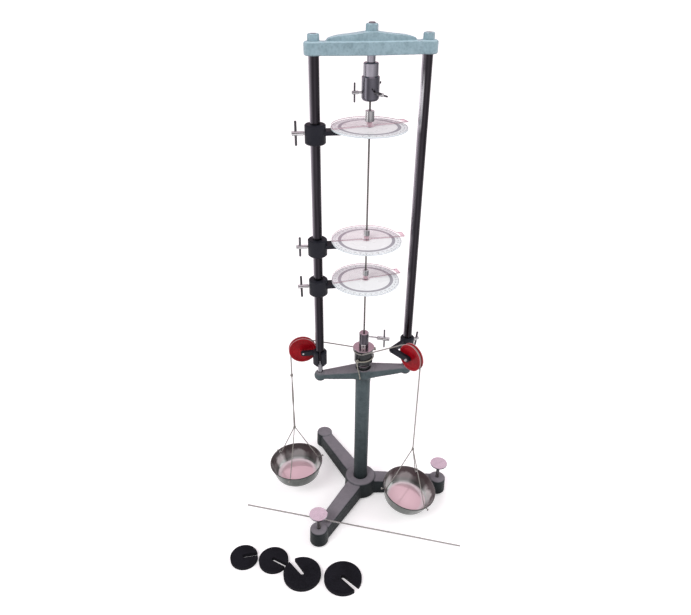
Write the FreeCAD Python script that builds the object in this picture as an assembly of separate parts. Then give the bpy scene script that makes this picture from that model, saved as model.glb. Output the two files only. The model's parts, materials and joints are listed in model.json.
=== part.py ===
"""Statical torsion apparatus: a bench stand that twists a thin rod by two weighted cords.

The origin is the foot of the column's axis, on the floor. +X runs along the crossarms to
the right, +Y to the back and +Z up. All sizes are in millimetres.
"""
import FreeCAD, Part
import math
import os

V = FreeCAD.Vector
UP = V(0, 0, 1)

# Stand
LEG_AZIMUTHS = {"right": -9.0, "front": -129.0, "rear": 111.0}
LEG_REACH = 212.0
FOOT_GAP = 6.0
BASE_HUB_R = 41.0
BASE_HUB_TOP = 57.0
LEG_BOSS_R = 22.0
LEG_BOSS_TOP = 51.0
COLUMN_R = 18.25
COLUMN_FOOT = 20.0
ARM_TOP = 420.0
ARM_SEAT = 404.0
UPRIGHT_X = 105.0
UPRIGHT_R = 10.0
STUD_R = 6.0
UPRIGHT_FOOT = 452.0
HEAD_BOTTOM = 1111.0
HEAD_LEDGE = 1133.0
HEAD_BOSS_R = 18.0
CROWN_TOP = 1149.0
CROWN_RIDGE = [(14.0, 1147.8), (38.0, 1144.9), (62.0, 1142.6), (79.0, 1138.5)]
ARM_BALL_R = 14.5
ARM_BALL_Z = 405.5
DRAFT = 0.05
BEVEL = 2.5

# Specimen and chucks
ROD_R = 2.0
ROD_LENGTH = 550.0
ROD_FOOT = 500.0
CHUCK_MOUTH = 1031.6
CHUCK_SCREW_Z = 1046.6
CHUCK_SCREW_AZIMUTHS = (180.0, -60.0, 60.0)
LOWER_CHUCK_R = 11.2
LOWER_CHUCK_TOP = 518.7
LOWER_SCREW_Z = 508.7
LOWER_SCREW_AZIMUTH = -23.0

# Torsion drum
DRUM_R = 22.0
DRUM_FOOT = 438.0
DRUM_TOP = 475.0
FLANGE_R = 25.5
FLANGE_TOP = 478.5
RUNNING = 0.05

# Dials and pointers
DIAL_R = 75.0
DIAL_THICK = 3.2
DIAL_TOPS = (984.1, 750.8, 657.2)
DIAL_HOLE_R = 6.0
CLAMP_R = 20.5
CLAMP_ABOVE = 8.5
CLAMP_BELOW = 28.5
DIAL_SCREW_DROP = 8.0
DIAL_SCREW_TILTS = (2.0, -7.0, 20.0)
POINTER_ANGLES = (14.0, 2.0, 10.6)
POINTER_COLLARS = ((9.0, 20.0), (6.5, 13.0), (6.5, 13.0))
BLADE_LIFT = 1.2
BLADE_THICK = 2.0
BLADE_R = 75.0
BLADE_TIP = 84.0
BLADE_BOSS = 7.0

# Pulleys, cords and pans
CORD_R = 1.5
STRING_R = 1.2
SKIN_GAP = 0.3
CORD_RADIUS_ON_PULLEY = 28.7
CORD_RADIUS_AT_CHEEK = 12.0
PULLEY_R = 33.0
PULLEY_WIDTH = 11.0
GROOVE_R = 27.0
GROOVE_MOUTH = 9.0
AXLE_R = 3.0
LEFT_PULLEY = V(-144.0, DRUM_R + CORD_R + SKIN_GAP, 468.0)
LEFT_FACE = -90.0
RIGHT_PULLEY = V(97.7, -74.6, 489.0)
RIGHT_FACE = -148.0
# Each cord leaves the drum on a tangent, turns two corners round its pulley and hangs
LEFT_CORD_ROUTE = [(0.0, 23.8, 458.0), (-149.8, 23.8, 499.5), (-172.8, 23.8, 482.6), (-172.8, 23.8, 398.0)]
RIGHT_CORD_ROUTE = [(-7.5, -22.6, 469.5), (84.2, -53.0, 511.0), (99.2, -77.1, 521.6), (113.0, -99.0, 504.5),
                    (113.0, -99.0, 231.0)]
# Azimuth and height where each wound end leaves its tangent, and where it stops
REAR_WINDING = (89.0, 458.0, -128.0, 448.0)
FRONT_WINDING = (-111.5, 469.5, -352.8, 470.0)
TAIL_ROUTE = [(-18.9, -19.6, 447.0), (-18.6, -22.8, 434.0), (-14.4, -25.6, 421.0), (-12.2, -26.2, 405.0)]
PAN_R = 69.5
PAN_DEPTH = 46.0
PAN_FLOOR_R = 44.0
PAN_CORNER_R = 17.0
PAN_WALL = 1.0
PAN_HOLE_DROP = 6.0
# Each side's rim height, knot height, hole azimuths, tilt and the azimuth of its low side
HANGING = {
    "left": (108.0, 232.0, (10.0, 130.0, 250.0), 3.0, 180.0),
    "right": (91.0, 231.0, (60.0, 180.0, 300.0), 13.0, -41.0),
}

# Loose pieces on the floor
SPARE_END = V(219.0, -231.0, 0)
SPARE_OVER_LEG = V(-88.9, -149.7, 0)
# Each weight's place, radius, height, and its slot's azimuth, width at the centre and at the mouth
WEIGHTS = {
    "small_weight_a": (-323.5, -192.0, 34.0, 12.0, 4.0, 9.0, 9.0),
    "small_weight_b": (-251.5, -211.0, 36.5, 12.0, -38.0, 9.0, 9.0),
    "large_weight_a": (-185.0, -260.5, 45.5, 13.0, 119.0, 11.0, 15.5),
    "large_weight_b": (-89.5, -286.5, 45.5, 13.0, -52.0, 11.0, 14.0),
}


def heading(degrees, length=1.0):
    """Horizontal vector of a given length at an angle from +X."""
    a = math.radians(degrees)
    return V(length * math.cos(a), length * math.sin(a), 0)


def cylinder(r, low, high, x=0.0, y=0.0):
    return Part.makeCylinder(r, high - low, V(x, y, low), UP)


def bar(start, end, r):
    run = end - start
    return Part.makeCylinder(r, run.Length, start, run)


def slab(x0, x1, y0, y1, z0, z1):
    return Part.makeBox(x1 - x0, y1 - y0, z1 - z0, V(x0, y0, z0))


def turned(outline, x=0.0, y=0.0):
    """Solid of revolution from a closed outline of (radius, height) points.

    A point given as ("arc", middle, end) runs there along an arc.
    """
    edges = []
    here = V(outline[0][0], 0, outline[0][1])
    first = here
    for item in outline[1:]:
        if item[0] == "arc":
            middle = V(item[1][0], 0, item[1][1])
            there = V(item[2][0], 0, item[2][1])
            edges.append(Part.Arc(here, middle, there).toShape())
        else:
            there = V(item[0], 0, item[1])
            edges.append(Part.LineSegment(here, there).toShape())
        here = there
    edges.append(Part.LineSegment(here, first).toShape())
    solid = Part.Face(Part.Wire(edges)).revolve(V(0, 0, 0), UP, 360)
    solid.translate(V(x, y, 0))
    return solid


def along(shape, origin, azimuth):
    """Carry a shape built along +X to an origin and turn it to an azimuth."""
    moved = shape.copy()
    moved.rotate(V(0, 0, 0), UP, azimuth)
    moved.translate(origin)
    return moved


def section(distance, half_width, low, high):
    """Corners of a leg's or arm's bevelled section, square to +X at a distance."""
    top = half_width - DRAFT * (high - low - BEVEL)
    points = [(-half_width, low), (half_width, low), (top, high - BEVEL), (top - BEVEL, high),
              (BEVEL - top, high), (-top, high - BEVEL)]
    return [V(distance, y, z) for y, z in points]


def polygon(corners):
    return Part.Face(Part.makePolygon(corners + corners[:1]))


def limb(near, far):
    """Tapering limb with flat sides between two sections, each given as section's sizes."""
    a = section(*near)
    b = section(*far)
    sides = [polygon([a[i - 1], a[i], b[i], b[i - 1]]) for i in range(len(a))]
    return Part.Solid(Part.Shell(sides + [polygon(a), polygon(b)]))


def hexagon_nut(flats, low, high, bore, x=0.0, y=0.0, crown=1.5):
    """Nut with its upper corners turned off."""
    corner = flats / math.sqrt(3)
    ring = [V(corner * math.cos(math.radians(60 * i)), corner * math.sin(math.radians(60 * i)), low)
            for i in range(7)]
    prism = Part.Face(Part.makePolygon(ring)).extrude(V(0, 0, high - low))
    cone = turned([(0, low), (corner + crown, low), (corner + crown, high - 2 * crown),
                   (flats / 2 - crown * 0.3, high), (0, high)])
    nut = prism.common(cone)
    if bore:
        nut = nut.cut(cylinder(bore, low - 1, high + 1))
    nut.translate(V(x, y, 0))
    return nut


def cord_tube(points, r, bends=None):
    """Tube along straight runs joined by tangent arcs.

    bends maps a point's index to its arc radius. Elsewhere the arc is as large as the two
    runs allow.
    """
    bends = bends or {}
    edges = []
    here = points[0]
    for i in range(1, len(points) - 1):
        back = (points[i - 1] - points[i])
        ahead = (points[i + 1] - points[i])
        half_turn = (math.pi - back.getAngle(ahead)) / 2
        widest = 0.45 * min(back.Length, ahead.Length) / math.tan(half_turn)
        radius = bends.get(i, widest)
        reach = radius * math.tan(half_turn)
        back.normalize()
        ahead.normalize()
        enter = points[i] + back * reach
        leave = points[i] + ahead * reach
        inward = (back + ahead).normalize()
        middle = points[i] + inward * (radius / math.cos(half_turn) - radius)
        if (enter - here).Length > 0.01:
            edges.append(Part.LineSegment(here, enter).toShape())
        edges.append(Part.Arc(enter, middle, leave).toShape())
        here = leave
        print("cord bend radius %.1f, tube radius %.1f" % (radius, r))
    edges.append(Part.LineSegment(here, points[-1]).toShape())
    return sweep_round(Part.Wire(edges), r)


def sweep_round(path, r):
    start = path.Edges[0]
    direction = start.tangentAt(start.FirstParameter)
    ring = Part.Wire(Part.makeCircle(r, start.valueAt(start.FirstParameter), direction))
    return path.makePipeShell([ring], True, False)


def fused(*shapes):
    whole = shapes[0]
    for shape in shapes[1:]:
        whole = whole.fuse(shape)
    return whole.removeSplitter()


def t_screw(origin, azimuth, tip, shoulder, end, bar_at, stem_r, head_r, bar_r, bar_half, tilt):
    """Clamping screw built from its tip outward, with a tommy bar through its head."""
    head = turned([(0, shoulder), (head_r - 0.5, shoulder), (head_r, shoulder + 0.5),
                   (head_r, end - 0.8), (head_r - 0.8, end), (0, end)])
    stem = cylinder(stem_r, tip, shoulder)
    screw = stem.fuse(head).removeSplitter()
    tommy = turned([(0, -bar_half), (bar_r * 0.6, -bar_half), (bar_r, 1 - bar_half),
                    (bar_r, bar_half - 1), (bar_r * 0.6, bar_half), (0, bar_half)])
    tommy.rotate(V(0, 0, 0), V(0, 1, 0), 90)
    tommy.translate(V(0, 0, bar_at))
    screw = screw.cut(Part.makeCylinder(bar_r, 4 * head_r, V(-2 * head_r, 0, bar_at), V(1, 0, 0)))
    pair = Part.makeCompound([screw, tommy])
    pair.rotate(V(0, 0, 0), V(0, 1, 0), 90)
    pair.rotate(V(0, 0, 0), V(1, 0, 0), tilt)
    return along(pair, origin, azimuth)


def leg_point(name, z=0.0):
    return heading(LEG_AZIMUTHS[name], LEG_REACH) + V(0, 0, z)


def tripod_base():
    hub = turned([(0, FOOT_GAP), (BASE_HUB_R + 2, FOOT_GAP), (BASE_HUB_R, BASE_HUB_TOP - 3),
                  (BASE_HUB_R - 3, BASE_HUB_TOP), (0, BASE_HUB_TOP)])
    casting = hub
    for name, azimuth in LEG_AZIMUTHS.items():
        leg = limb((20, 23.5, FOOT_GAP + 2, 52), (LEG_REACH, 19, FOOT_GAP + 2, 46.5))
        hollow = limb((58, 15, FOOT_GAP, 42), (176, 12, FOOT_GAP, 38))
        casting = casting.fuse(along(leg, V(0, 0, 0), azimuth))
        spot = leg_point(name)
        boss = turned([(0, FOOT_GAP), (LEG_BOSS_R + 1.5, FOOT_GAP), (LEG_BOSS_R, LEG_BOSS_TOP - 2),
                       (LEG_BOSS_R - 2, LEG_BOSS_TOP), (16, LEG_BOSS_TOP), (15, LEG_BOSS_TOP + 1.5),
                       (0, LEG_BOSS_TOP + 1.5)], spot.x, spot.y)
        casting = casting.fuse(boss).cut(along(hollow, V(0, 0, 0), azimuth))
    casting = casting.removeSplitter()
    for name in ("right", "front"):
        spot = leg_point(name)
        casting = casting.cut(cylinder(4 + RUNNING, 0, 60, spot.x, spot.y))
    spot = leg_point("rear")
    casting = casting.cut(cylinder(4, 0, 26, spot.x, spot.y))
    casting = casting.cut(cylinder(COLUMN_R + RUNNING, COLUMN_FOOT, 60))
    return casting.cut(cylinder(12.5, 0, 14)).cut(cylinder(6.5, 0, 30))


def rear_foot():
    spot = leg_point("rear")
    return turned([(0, 0), (8.5, 0), (10, 1.5), (10, FOOT_GAP), (4, FOOT_GAP), (4, 25.5), (0, 25.5)],
                  spot.x, spot.y)


def levelling_screw(name):
    """Screw that stands on the floor in a leg boss, and the disc riveted on its top."""
    disc_low, disc_high = 99.0, 103.0
    spot = leg_point(name)
    stem = turned([(0, 0), (2.5, 0), (4, 2.5), (4, disc_low - 5), (6.5, disc_low - 4),
                   (6.5, disc_low), (3, disc_low), (3, disc_high), (0, disc_high)], spot.x, spot.y)
    disc = turned([(3, disc_low), (21.5, disc_low), (22.5, disc_low + 0.8), (22.5, disc_high - 0.8),
                   (21.7, disc_high), (3, disc_high)], spot.x, spot.y)
    return Part.makeCompound([stem, disc])


def column_bolt():
    head = hexagon_nut(19, FOOT_GAP + 0.5, 14, 0)
    return head.fuse(cylinder(STUD_R, 14, 56))


def column():
    tube = turned([(0, COLUMN_FOOT), (COLUMN_R, COLUMN_FOOT), (COLUMN_R, ARM_SEAT), (0, ARM_SEAT)])
    return tube.cut(cylinder(STUD_R, COLUMN_FOOT - 1, 58)).cut(cylinder(STUD_R, 380, ARM_SEAT + 1))


def lower_crossarm():
    """Casting on the column's top, with a ball boss for each upright."""
    casting = turned([(0, 378), (COLUMN_R + 0.6, 378), (COLUMN_R + 0.9, 386), ("arc", (20.6, 393), (23.5, 398)),
                      (23.5, ARM_TOP - 1), (22.5, ARM_TOP), (0, ARM_TOP)])
    for azimuth in (0, 180):
        arm = limb((8, 22.5, 398, 419), (UPRIGHT_X, 11, 400, 413.5))
        casting = casting.fuse(along(arm, V(0, 0, 0), azimuth))
    for side in (-1, 1):
        ball = Part.makeSphere(ARM_BALL_R, V(side * UPRIGHT_X, 0, ARM_BALL_Z))
        casting = casting.fuse(ball.common(cylinder(20, ARM_BALL_Z - 12, ARM_BALL_Z + 12, side * UPRIGHT_X)))
    casting = casting.removeSplitter()
    casting = casting.cut(cylinder(COLUMN_R + RUNNING, 370, ARM_SEAT))
    casting = casting.cut(cylinder(STUD_R + RUNNING, 400, 430))
    casting = casting.cut(cylinder(17.5, 416, 430))
    for side in (-1, 1):
        casting = casting.cut(cylinder(STUD_R, 396, 430, side * UPRIGHT_X))
    return casting


def upright(side):
    """Ground bar, turned down at its foot and at its head."""
    return turned([(0, 397), (STUD_R - 1, 397), (STUD_R, 398), (STUD_R, UPRIGHT_FOOT),
                   (UPRIGHT_R - 1, UPRIGHT_FOOT), (UPRIGHT_R, UPRIGHT_FOOT + 1), (UPRIGHT_R, HEAD_BOTTOM),
                   (STUD_R, HEAD_BOTTOM), (STUD_R, 1145), (STUD_R - 1, 1146), (0, 1146)], side * UPRIGHT_X)


def lens_plan(half_length, half_middle, half_end, low, high):
    """Upright block whose two long sides bow outward."""
    a, m, e = half_length, half_middle, half_end
    front = Part.Arc(V(-a, -e, low), V(0, -m, low), V(a, -e, low)).toShape()
    right = Part.LineSegment(V(a, -e, low), V(a, e, low)).toShape()
    back = Part.Arc(V(a, e, low), V(0, m, low), V(-a, e, low)).toShape()
    left = Part.LineSegment(V(-a, e, low), V(-a, -e, low)).toShape()
    return Part.Face(Part.Wire([front, right, back, left])).extrude(V(0, 0, high - low))


def upper_crosshead():
    """Arched casting: a bowed beam with a crown on it, and a round boss at each end."""
    beam = lens_plan(UPRIGHT_X, 18.5, 11.5, HEAD_BOTTOM, HEAD_LEDGE)
    half = CROWN_RIDGE[-1][0]
    eaves = CROWN_RIDGE[-1][1]
    foot, reach = HEAD_LEDGE - 2, half + 7
    right_side = [V(x, -30, z) for x, z in CROWN_RIDGE]
    left_side = [V(-x, -30, z) for x, z in reversed(CROWN_RIDGE)]
    ridge = Part.BSplineCurve()
    ridge.interpolate(left_side + [V(0, -30, CROWN_TOP)] + right_side)
    outline = [ridge.toShape(),
               Part.LineSegment(V(half, -30, eaves), V(reach, -30, foot)).toShape(),
               Part.LineSegment(V(reach, -30, foot), V(-reach, -30, foot)).toShape(),
               Part.LineSegment(V(-reach, -30, foot), V(-half, -30, eaves)).toShape()]
    wall = Part.Face(Part.Wire(outline)).extrude(V(0, 60, 0))
    crown = wall.common(lens_plan(reach, 14, 6, foot, CROWN_TOP + 2))
    casting = beam.fuse(crown).fuse(cylinder(12.5, HEAD_LEDGE, CROWN_TOP))
    for side in (-1, 1):
        boss = turned([(0, HEAD_BOTTOM), (HEAD_BOSS_R - 1.5, HEAD_BOTTOM), (HEAD_BOSS_R, HEAD_BOTTOM + 1.5),
                       (HEAD_BOSS_R, HEAD_LEDGE - 1.5), (HEAD_BOSS_R - 2.5, HEAD_LEDGE + 1), (0, HEAD_LEDGE + 1)],
                      side * UPRIGHT_X)
        casting = casting.fuse(boss)
    casting = casting.removeSplitter()
    for x in (-UPRIGHT_X, 0, UPRIGHT_X):
        casting = casting.cut(cylinder(STUD_R + RUNNING, HEAD_BOTTOM - 1, CROWN_TOP + 3, x))
    return casting


def upright_nuts():
    low = HEAD_LEDGE + 1
    return Part.makeCompound([hexagon_nut(19, low, low + 12, STUD_R, side * UPRIGHT_X) for side in (-1, 1)])


def chuck_lock_nut():
    return hexagon_nut(20, CROWN_TOP, 1161, STUD_R)


def upper_chuck_shank():
    return turned([(0, 1085), (STUD_R, 1085), (STUD_R, 1098), (8, 1098), (8, HEAD_BOTTOM),
                   (STUD_R, HEAD_BOTTOM), (STUD_R, 1162.5), (STUD_R - 1, 1163.5), (0, 1163.5)])


def upper_chuck_sleeve():
    return turned([(0, 1067), (8, 1067), (8, 1075), (14.25, 1075), (14.25, 1096.5), (12.75, 1098),
                   (STUD_R, 1098), (STUD_R, 1085), (0, 1085)])


def upper_chuck_body():
    body = turned([(2.3, CHUCK_MOUTH), (10, CHUCK_MOUTH), ("arc", (15, 1033.7), (17, 1038.6)), (17, 1073.5),
                   (15.5, 1075), (8, 1075), (8, 1067), (0, 1067), (0, 1054), (2.3, 1054)])
    for azimuth in CHUCK_SCREW_AZIMUTHS:
        outer = heading(azimuth, 20) + V(0, 0, CHUCK_SCREW_Z)
        body = body.cut(bar(V(0, 0, CHUCK_SCREW_Z), outer, 2.4 + RUNNING))
    return body


def specimen_rod():
    return turned([(0, 0), (ROD_R - 0.3, 0), (ROD_R, 0.3), (ROD_R, ROD_LENGTH - 0.3),
                   (ROD_R - 0.3, ROD_LENGTH), (0, ROD_LENGTH)])


def mounted_rod():
    rod = specimen_rod()
    rod.translate(V(0, 0, ROD_FOOT))
    return rod


def spare_rod():
    """Second specimen, one end on the floor, leaning over the front leg."""
    rest_z = 46.9 + ROD_R + SKIN_GAP
    low = SPARE_END + V(0, 0, ROD_R)
    run = SPARE_OVER_LEG + V(0, 0, rest_z) - low
    rod = specimen_rod()
    turn = FreeCAD.Rotation(UP, run)
    rod.Placement = FreeCAD.Placement(low, turn)
    rod.translate(V(0, 0, 0.02))
    return rod


def drum_pivot():
    return turned([(0, 384), (STUD_R, 384), (STUD_R, 468), (STUD_R - 1, 469), (0, 469)])


def drum_thrust_ring():
    return turned([(STUD_R + RUNNING, 416), (17.4, 416), (17.4, 428.5), (15.9, 430), (11.5, 430),
                   (11.5, DRUM_FOOT - RUNNING), (STUD_R + RUNNING, DRUM_FOOT - RUNNING)])


def torsion_drum():
    bore = STUD_R + RUNNING
    return turned([(bore, DRUM_FOOT), (DRUM_R - 1, DRUM_FOOT), (DRUM_R, DRUM_FOOT + 1), (DRUM_R, DRUM_TOP),
                   (STUD_R, DRUM_TOP), (STUD_R, DRUM_TOP - 5), (bore, DRUM_TOP - 5)])


def drum_flange():
    return turned([(STUD_R, DRUM_TOP), (FLANGE_R - 0.8, DRUM_TOP), (FLANGE_R, DRUM_TOP + 0.8),
                   (FLANGE_R, FLANGE_TOP - 0.8), (FLANGE_R - 0.8, FLANGE_TOP), (STUD_R, FLANGE_TOP)])


def lower_chuck():
    """Socket for the rod's foot, with a spot-faced flat for its grub screw."""
    r = LOWER_CHUCK_R
    chuck = turned([(0, DRUM_TOP - 5), (STUD_R, DRUM_TOP - 5), (STUD_R, FLANGE_TOP), (r, FLANGE_TOP),
                    (r, LOWER_CHUCK_TOP - 1.5), (r - 1.5, LOWER_CHUCK_TOP), (ROD_R + RUNNING, LOWER_CHUCK_TOP),
                    (ROD_R + RUNNING, ROD_FOOT - 3), (0, ROD_FOOT - 3)])
    side_bore = bar(V(0, 0, LOWER_SCREW_Z), heading(LOWER_SCREW_AZIMUTH, 20) + V(0, 0, LOWER_SCREW_Z),
                    2 + RUNNING)
    flat = along(slab(r - 1.2, r + 5, -6.5, 6.5, FLANGE_TOP, FLANGE_TOP + 11), V(0, 0, 0), -104)
    grub = bar(V(0, 0, FLANGE_TOP + 5.5), heading(-104, 20) + V(0, 0, FLANGE_TOP + 5.5), 2)
    grub = grub.cut(cylinder(r - 5, FLANGE_TOP, FLANGE_TOP + 12))
    return chuck.cut(side_bore).cut(flat).cut(grub)


def lower_chuck_screw():
    return t_screw(V(0, 0, LOWER_SCREW_Z), LOWER_SCREW_AZIMUTH, 2.15, 32, 61, 48.5, 2, 4.7, 1.9, 25, 3)


def upper_chuck_screw(azimuth, tilt):
    return t_screw(V(0, 0, CHUCK_SCREW_Z), azimuth, 2.15, 22.5, 35.5, 30, 2.4, 3.4, 1.7, 17.5, tilt)


def dial_bracket(top):
    """Collar on the left upright with a flat arm to a round pad under the dial."""
    low, high = top - CLAMP_BELOW, top + CLAMP_ABOVE
    collar = turned([(0, low), (CLAMP_R - 2, low), (CLAMP_R, low + 2), (CLAMP_R, high - 2),
                     (CLAMP_R - 2, high), (0, high)], -UPRIGHT_X)
    seat = top - DIAL_THICK
    arm = slab(-UPRIGHT_X, 0, -13, 13, seat - 8, seat)
    pad = turned([(0, seat - 8), (17, seat - 8), (17, seat), (0, seat)])
    bracket = fused(collar, arm, pad)
    bracket = bracket.cut(cylinder(UPRIGHT_R + RUNNING, low - 1, high + 1, -UPRIGHT_X))
    bracket = bracket.cut(cylinder(DIAL_HOLE_R + 1, seat - 10, seat + 2))
    z = top - DIAL_SCREW_DROP
    return bracket.cut(bar(V(-UPRIGHT_X, 0, z), V(-UPRIGHT_X - 30, 0, z), 3 + RUNNING))


def dial_disc(top):
    low = top - DIAL_THICK
    return turned([(DIAL_HOLE_R, low), (DIAL_R - 0.6, low), (DIAL_R, low + 0.6), (DIAL_R, top - 0.6),
                   (DIAL_R - 0.6, top), (DIAL_HOLE_R, top)])


def dial_screw(top, tilt):
    origin = V(-UPRIGHT_X, 0, top - DIAL_SCREW_DROP)
    return t_screw(origin, 180, UPRIGHT_R + 0.15, 22, 45.5, 37.4, 3, 4.4, 2.4, 23, tilt)


def pointer_blade(top, angle):
    """Clear half disc whose straight front edge is the diameter that is read, with a lug at its right end."""
    low = top + BLADE_LIFT
    high = low + BLADE_THICK
    half_disc = cylinder(BLADE_R, low, high).common(slab(-BLADE_R, BLADE_R, 0, BLADE_R, low, high))
    lug = slab(BLADE_R - 12, BLADE_TIP, 0, 22, low, high)
    blade = half_disc.fuse(lug)
    blade = fused(blade, cylinder(9, low, high), cylinder(5.5, low, high + BLADE_BOSS))
    blade = blade.cut(cylinder(ROD_R + 0.4, low - 1, high + BLADE_BOSS + 1))
    return along(blade, V(0, 0, 0), angle)


def pointer_collar(top, r, height):
    low = top + BLADE_LIFT + BLADE_THICK + BLADE_BOSS
    return turned([(ROD_R + RUNNING, low), (r - 0.8, low), (r, low + 0.8), (r, low + height - 0.8),
                   (r - 0.8, low + height), (ROD_R + RUNNING, low + height)])


def facing(shape, centre, azimuth):
    """Carry a shape turned about Z to a centre with its axis level at an azimuth."""
    moved = shape.copy()
    moved.rotate(V(0, 0, 0), V(0, 1, 0), 90)
    return along(moved, centre, azimuth)


def pulley(centre, azimuth):
    half = PULLEY_WIDTH / 2
    mouth = GROOVE_MOUTH / 2
    bore = AXLE_R + RUNNING
    wheel = turned([(bore, -half), (9, -half), (9.5, 1 - half), (26, 1 - half), (27, -half),
                    (PULLEY_R - 0.3, -half), (PULLEY_R, -mouth), (GROOVE_R, -1.2), (GROOVE_R, 1.2),
                    (PULLEY_R, mouth), (PULLEY_R - 0.3, half), (27, half), (26, half - 1), (9.5, half - 1),
                    (9, half), (bore, half)])
    return facing(wheel, centre, azimuth)


def axle(centre, azimuth):
    """Shouldered pin through the arm and the pulley, headed behind the pulley."""
    pin = turned([(0, -10.5), (5, -10.5), (5.5, -10), (5.5, -6), (AXLE_R, -6), (AXLE_R, 20), (2.2, 21.5),
                  (0, 21.5)])
    return facing(pin, centre, azimuth)


def flat_arm(start, end, thick, half_height):
    """Level bar of stadium profile from start to end, with round ends."""
    run = end - start
    angle = math.degrees(math.atan2(run.y, run.x))
    body = slab(0, run.Length, -thick / 2, thick / 2, -half_height, half_height)
    for x in (0, run.Length):
        body = body.fuse(Part.makeCylinder(half_height, thick, V(x, -thick / 2, 0), V(0, 1, 0)))
    return along(body.removeSplitter(), start, angle)


def bracket_collar(x, low, high):
    return turned([(0, low), (11.5, low), (16.5, low + 6), (16.5, high - 3), (14, high), (0, high)], x)


def left_pulley_bracket():
    """Split collar with a straight arm in front of the pulley."""
    collar = bracket_collar(-UPRIGHT_X, 436, 477)
    arm_y = LEFT_PULLEY.y - 18
    arm = flat_arm(V(-UPRIGHT_X - 12, arm_y, 468), V(LEFT_PULLEY.x, arm_y, 468), 8, 5.5)
    bracket = fused(collar, arm)
    bracket = bracket.cut(cylinder(UPRIGHT_R + RUNNING, 430, 480, -UPRIGHT_X))
    split = along(slab(5, 30, -3.5, 3.5, 430, 480), V(-UPRIGHT_X, 0, 0), -97)
    bracket = bracket.cut(split)
    bracket = bracket.cut(bar(LEFT_PULLEY - V(0, 40, 0), LEFT_PULLEY, AXLE_R))
    return bracket.cut(bar(V(-UPRIGHT_X, 0, 450), V(-UPRIGHT_X, 30, 450), 3 + RUNNING))


def right_pulley_bracket():
    """Collar with a cranked arm that comes round to the front of the pulley."""
    collar = bracket_collar(UPRIGHT_X, 457, 498)
    face = heading(RIGHT_FACE)
    axle_spot = RIGHT_PULLEY + face * 12.5
    crank = axle_spot - heading(RIGHT_FACE + 90, 50)
    outer = flat_arm(axle_spot, crank, 8, 6.5)
    inner = flat_arm(crank, V(UPRIGHT_X, 0, RIGHT_PULLEY.z), 8, 6.5)
    pivot = cylinder(4.6, RIGHT_PULLEY.z - 6.5, RIGHT_PULLEY.z + 6.5, crank.x, crank.y)
    bracket = fused(collar, inner, outer, pivot)
    bracket = bracket.cut(cylinder(UPRIGHT_R + RUNNING, 450, 500, UPRIGHT_X))
    bracket = bracket.cut(bar(RIGHT_PULLEY, RIGHT_PULLEY + face * 40, AXLE_R))
    screw_z = 484
    outer_end = V(UPRIGHT_X, 0, screw_z) + heading(22, 30)
    return bracket.cut(bar(V(UPRIGHT_X, 0, screw_z), outer_end, 3 + RUNNING))


def left_bracket_screw():
    return t_screw(V(-UPRIGHT_X, 0, 450), 90, UPRIGHT_R + 0.15, 18, 42, 36, 3, 4.4, 2.4, 19, 0)


def right_bracket_screw():
    return t_screw(V(UPRIGHT_X, 0, 484), 22, UPRIGHT_R + 0.15, 18, 33, 27, 3, 4.2, 2.4, 20, 8)


def left_cord():
    """Cord from the drum's back, over the left pulley and down to the doubled cord's knot."""
    points = [V(*point) for point in LEFT_CORD_ROUTE]
    return cord_tube(points, CORD_R, {1: CORD_RADIUS_ON_PULLEY, 2: CORD_RADIUS_ON_PULLEY})


def right_cord():
    """Cord from the drum's front, bent at the right pulley's cheek, over it and down."""
    points = [V(*point) for point in RIGHT_CORD_ROUTE]
    return cord_tube(points, CORD_R, {1: CORD_RADIUS_AT_CHEEK, 2: CORD_RADIUS_ON_PULLEY,
                                      3: CORD_RADIUS_ON_PULLEY})


DRUM_CORD_R = DRUM_R + CORD_R + SKIN_GAP


def helix_points(start_azimuth, start_z, end_azimuth, end_z, count):
    points = []
    for i in range(count + 1):
        share = i / count
        azimuth = start_azimuth + (end_azimuth - start_azimuth) * share
        points.append(heading(azimuth, DRUM_CORD_R) + V(0, 0, start_z + (end_z - start_z) * share))
    return points


def winding(start_azimuth, start_z, end_azimuth, end_z):
    """Cord laid round the drum as arcs through points of one helix."""
    points = helix_points(start_azimuth, start_z, end_azimuth, end_z, 6)
    edges = [Part.Arc(*points[i:i + 3]).toShape() for i in (0, 2, 4)]
    return sweep_round(Part.Wire(edges), CORD_R)


def print_least_gap(windings):
    """Least free distance between points of the windings that lie over a turn's tenth apart."""
    lines = [helix_points(*sizes, 60) for sizes in windings]
    gaps = [p.distanceToPoint(q) for p in lines[0] for q in lines[1]]
    for line in lines:
        gaps += [line[i].distanceToPoint(line[j]) for i in range(61) for j in range(i + 10, 61)]
    print("least gap of the windings %.2f" % (min(gaps) - 2 * CORD_R))


def cord_knot(spot, r, half_height):
    """Knot as a short barrel with rounded ends."""
    return turned([(0, -half_height), (r * 0.7, -half_height), (r, -half_height * 0.45), (r, half_height * 0.45),
                   (r * 0.7, half_height), (0, half_height)], spot.x, spot.y).translated(V(0, 0, spot.z))


def drum_cord():
    """The two wound ends: one knotted at the front with a loose tail, one at the side."""
    print_least_gap([REAR_WINDING, FRONT_WINDING])
    knot = cord_knot(heading(-134, DRUM_R + 4.9) + V(0, 0, 450), 4.4, 4.4)
    tail = cord_tube([V(*point) for point in TAIL_ROUTE], STRING_R)
    tail_knot = cord_knot(V(*TAIL_ROUTE[-1]), 2.2, 2.4)
    first = fused(winding(*REAR_WINDING), knot, tail, tail_knot)
    lump = cord_knot(heading(-1.0, DRUM_R + 4.8) + V(0, 0, RIGHT_CORD_ROUTE[0][2]), 4.2, 4.2)
    second = fused(winding(*FRONT_WINDING), lump)
    return Part.makeCompound([first, second])


def pan_spot(side):
    """Centre of a pan's rim, plumb under its cord."""
    route = LEFT_CORD_ROUTE if side == "left" else RIGHT_CORD_ROUTE
    return V(route[-1][0], route[-1][1], HANGING[side][0])


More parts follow.
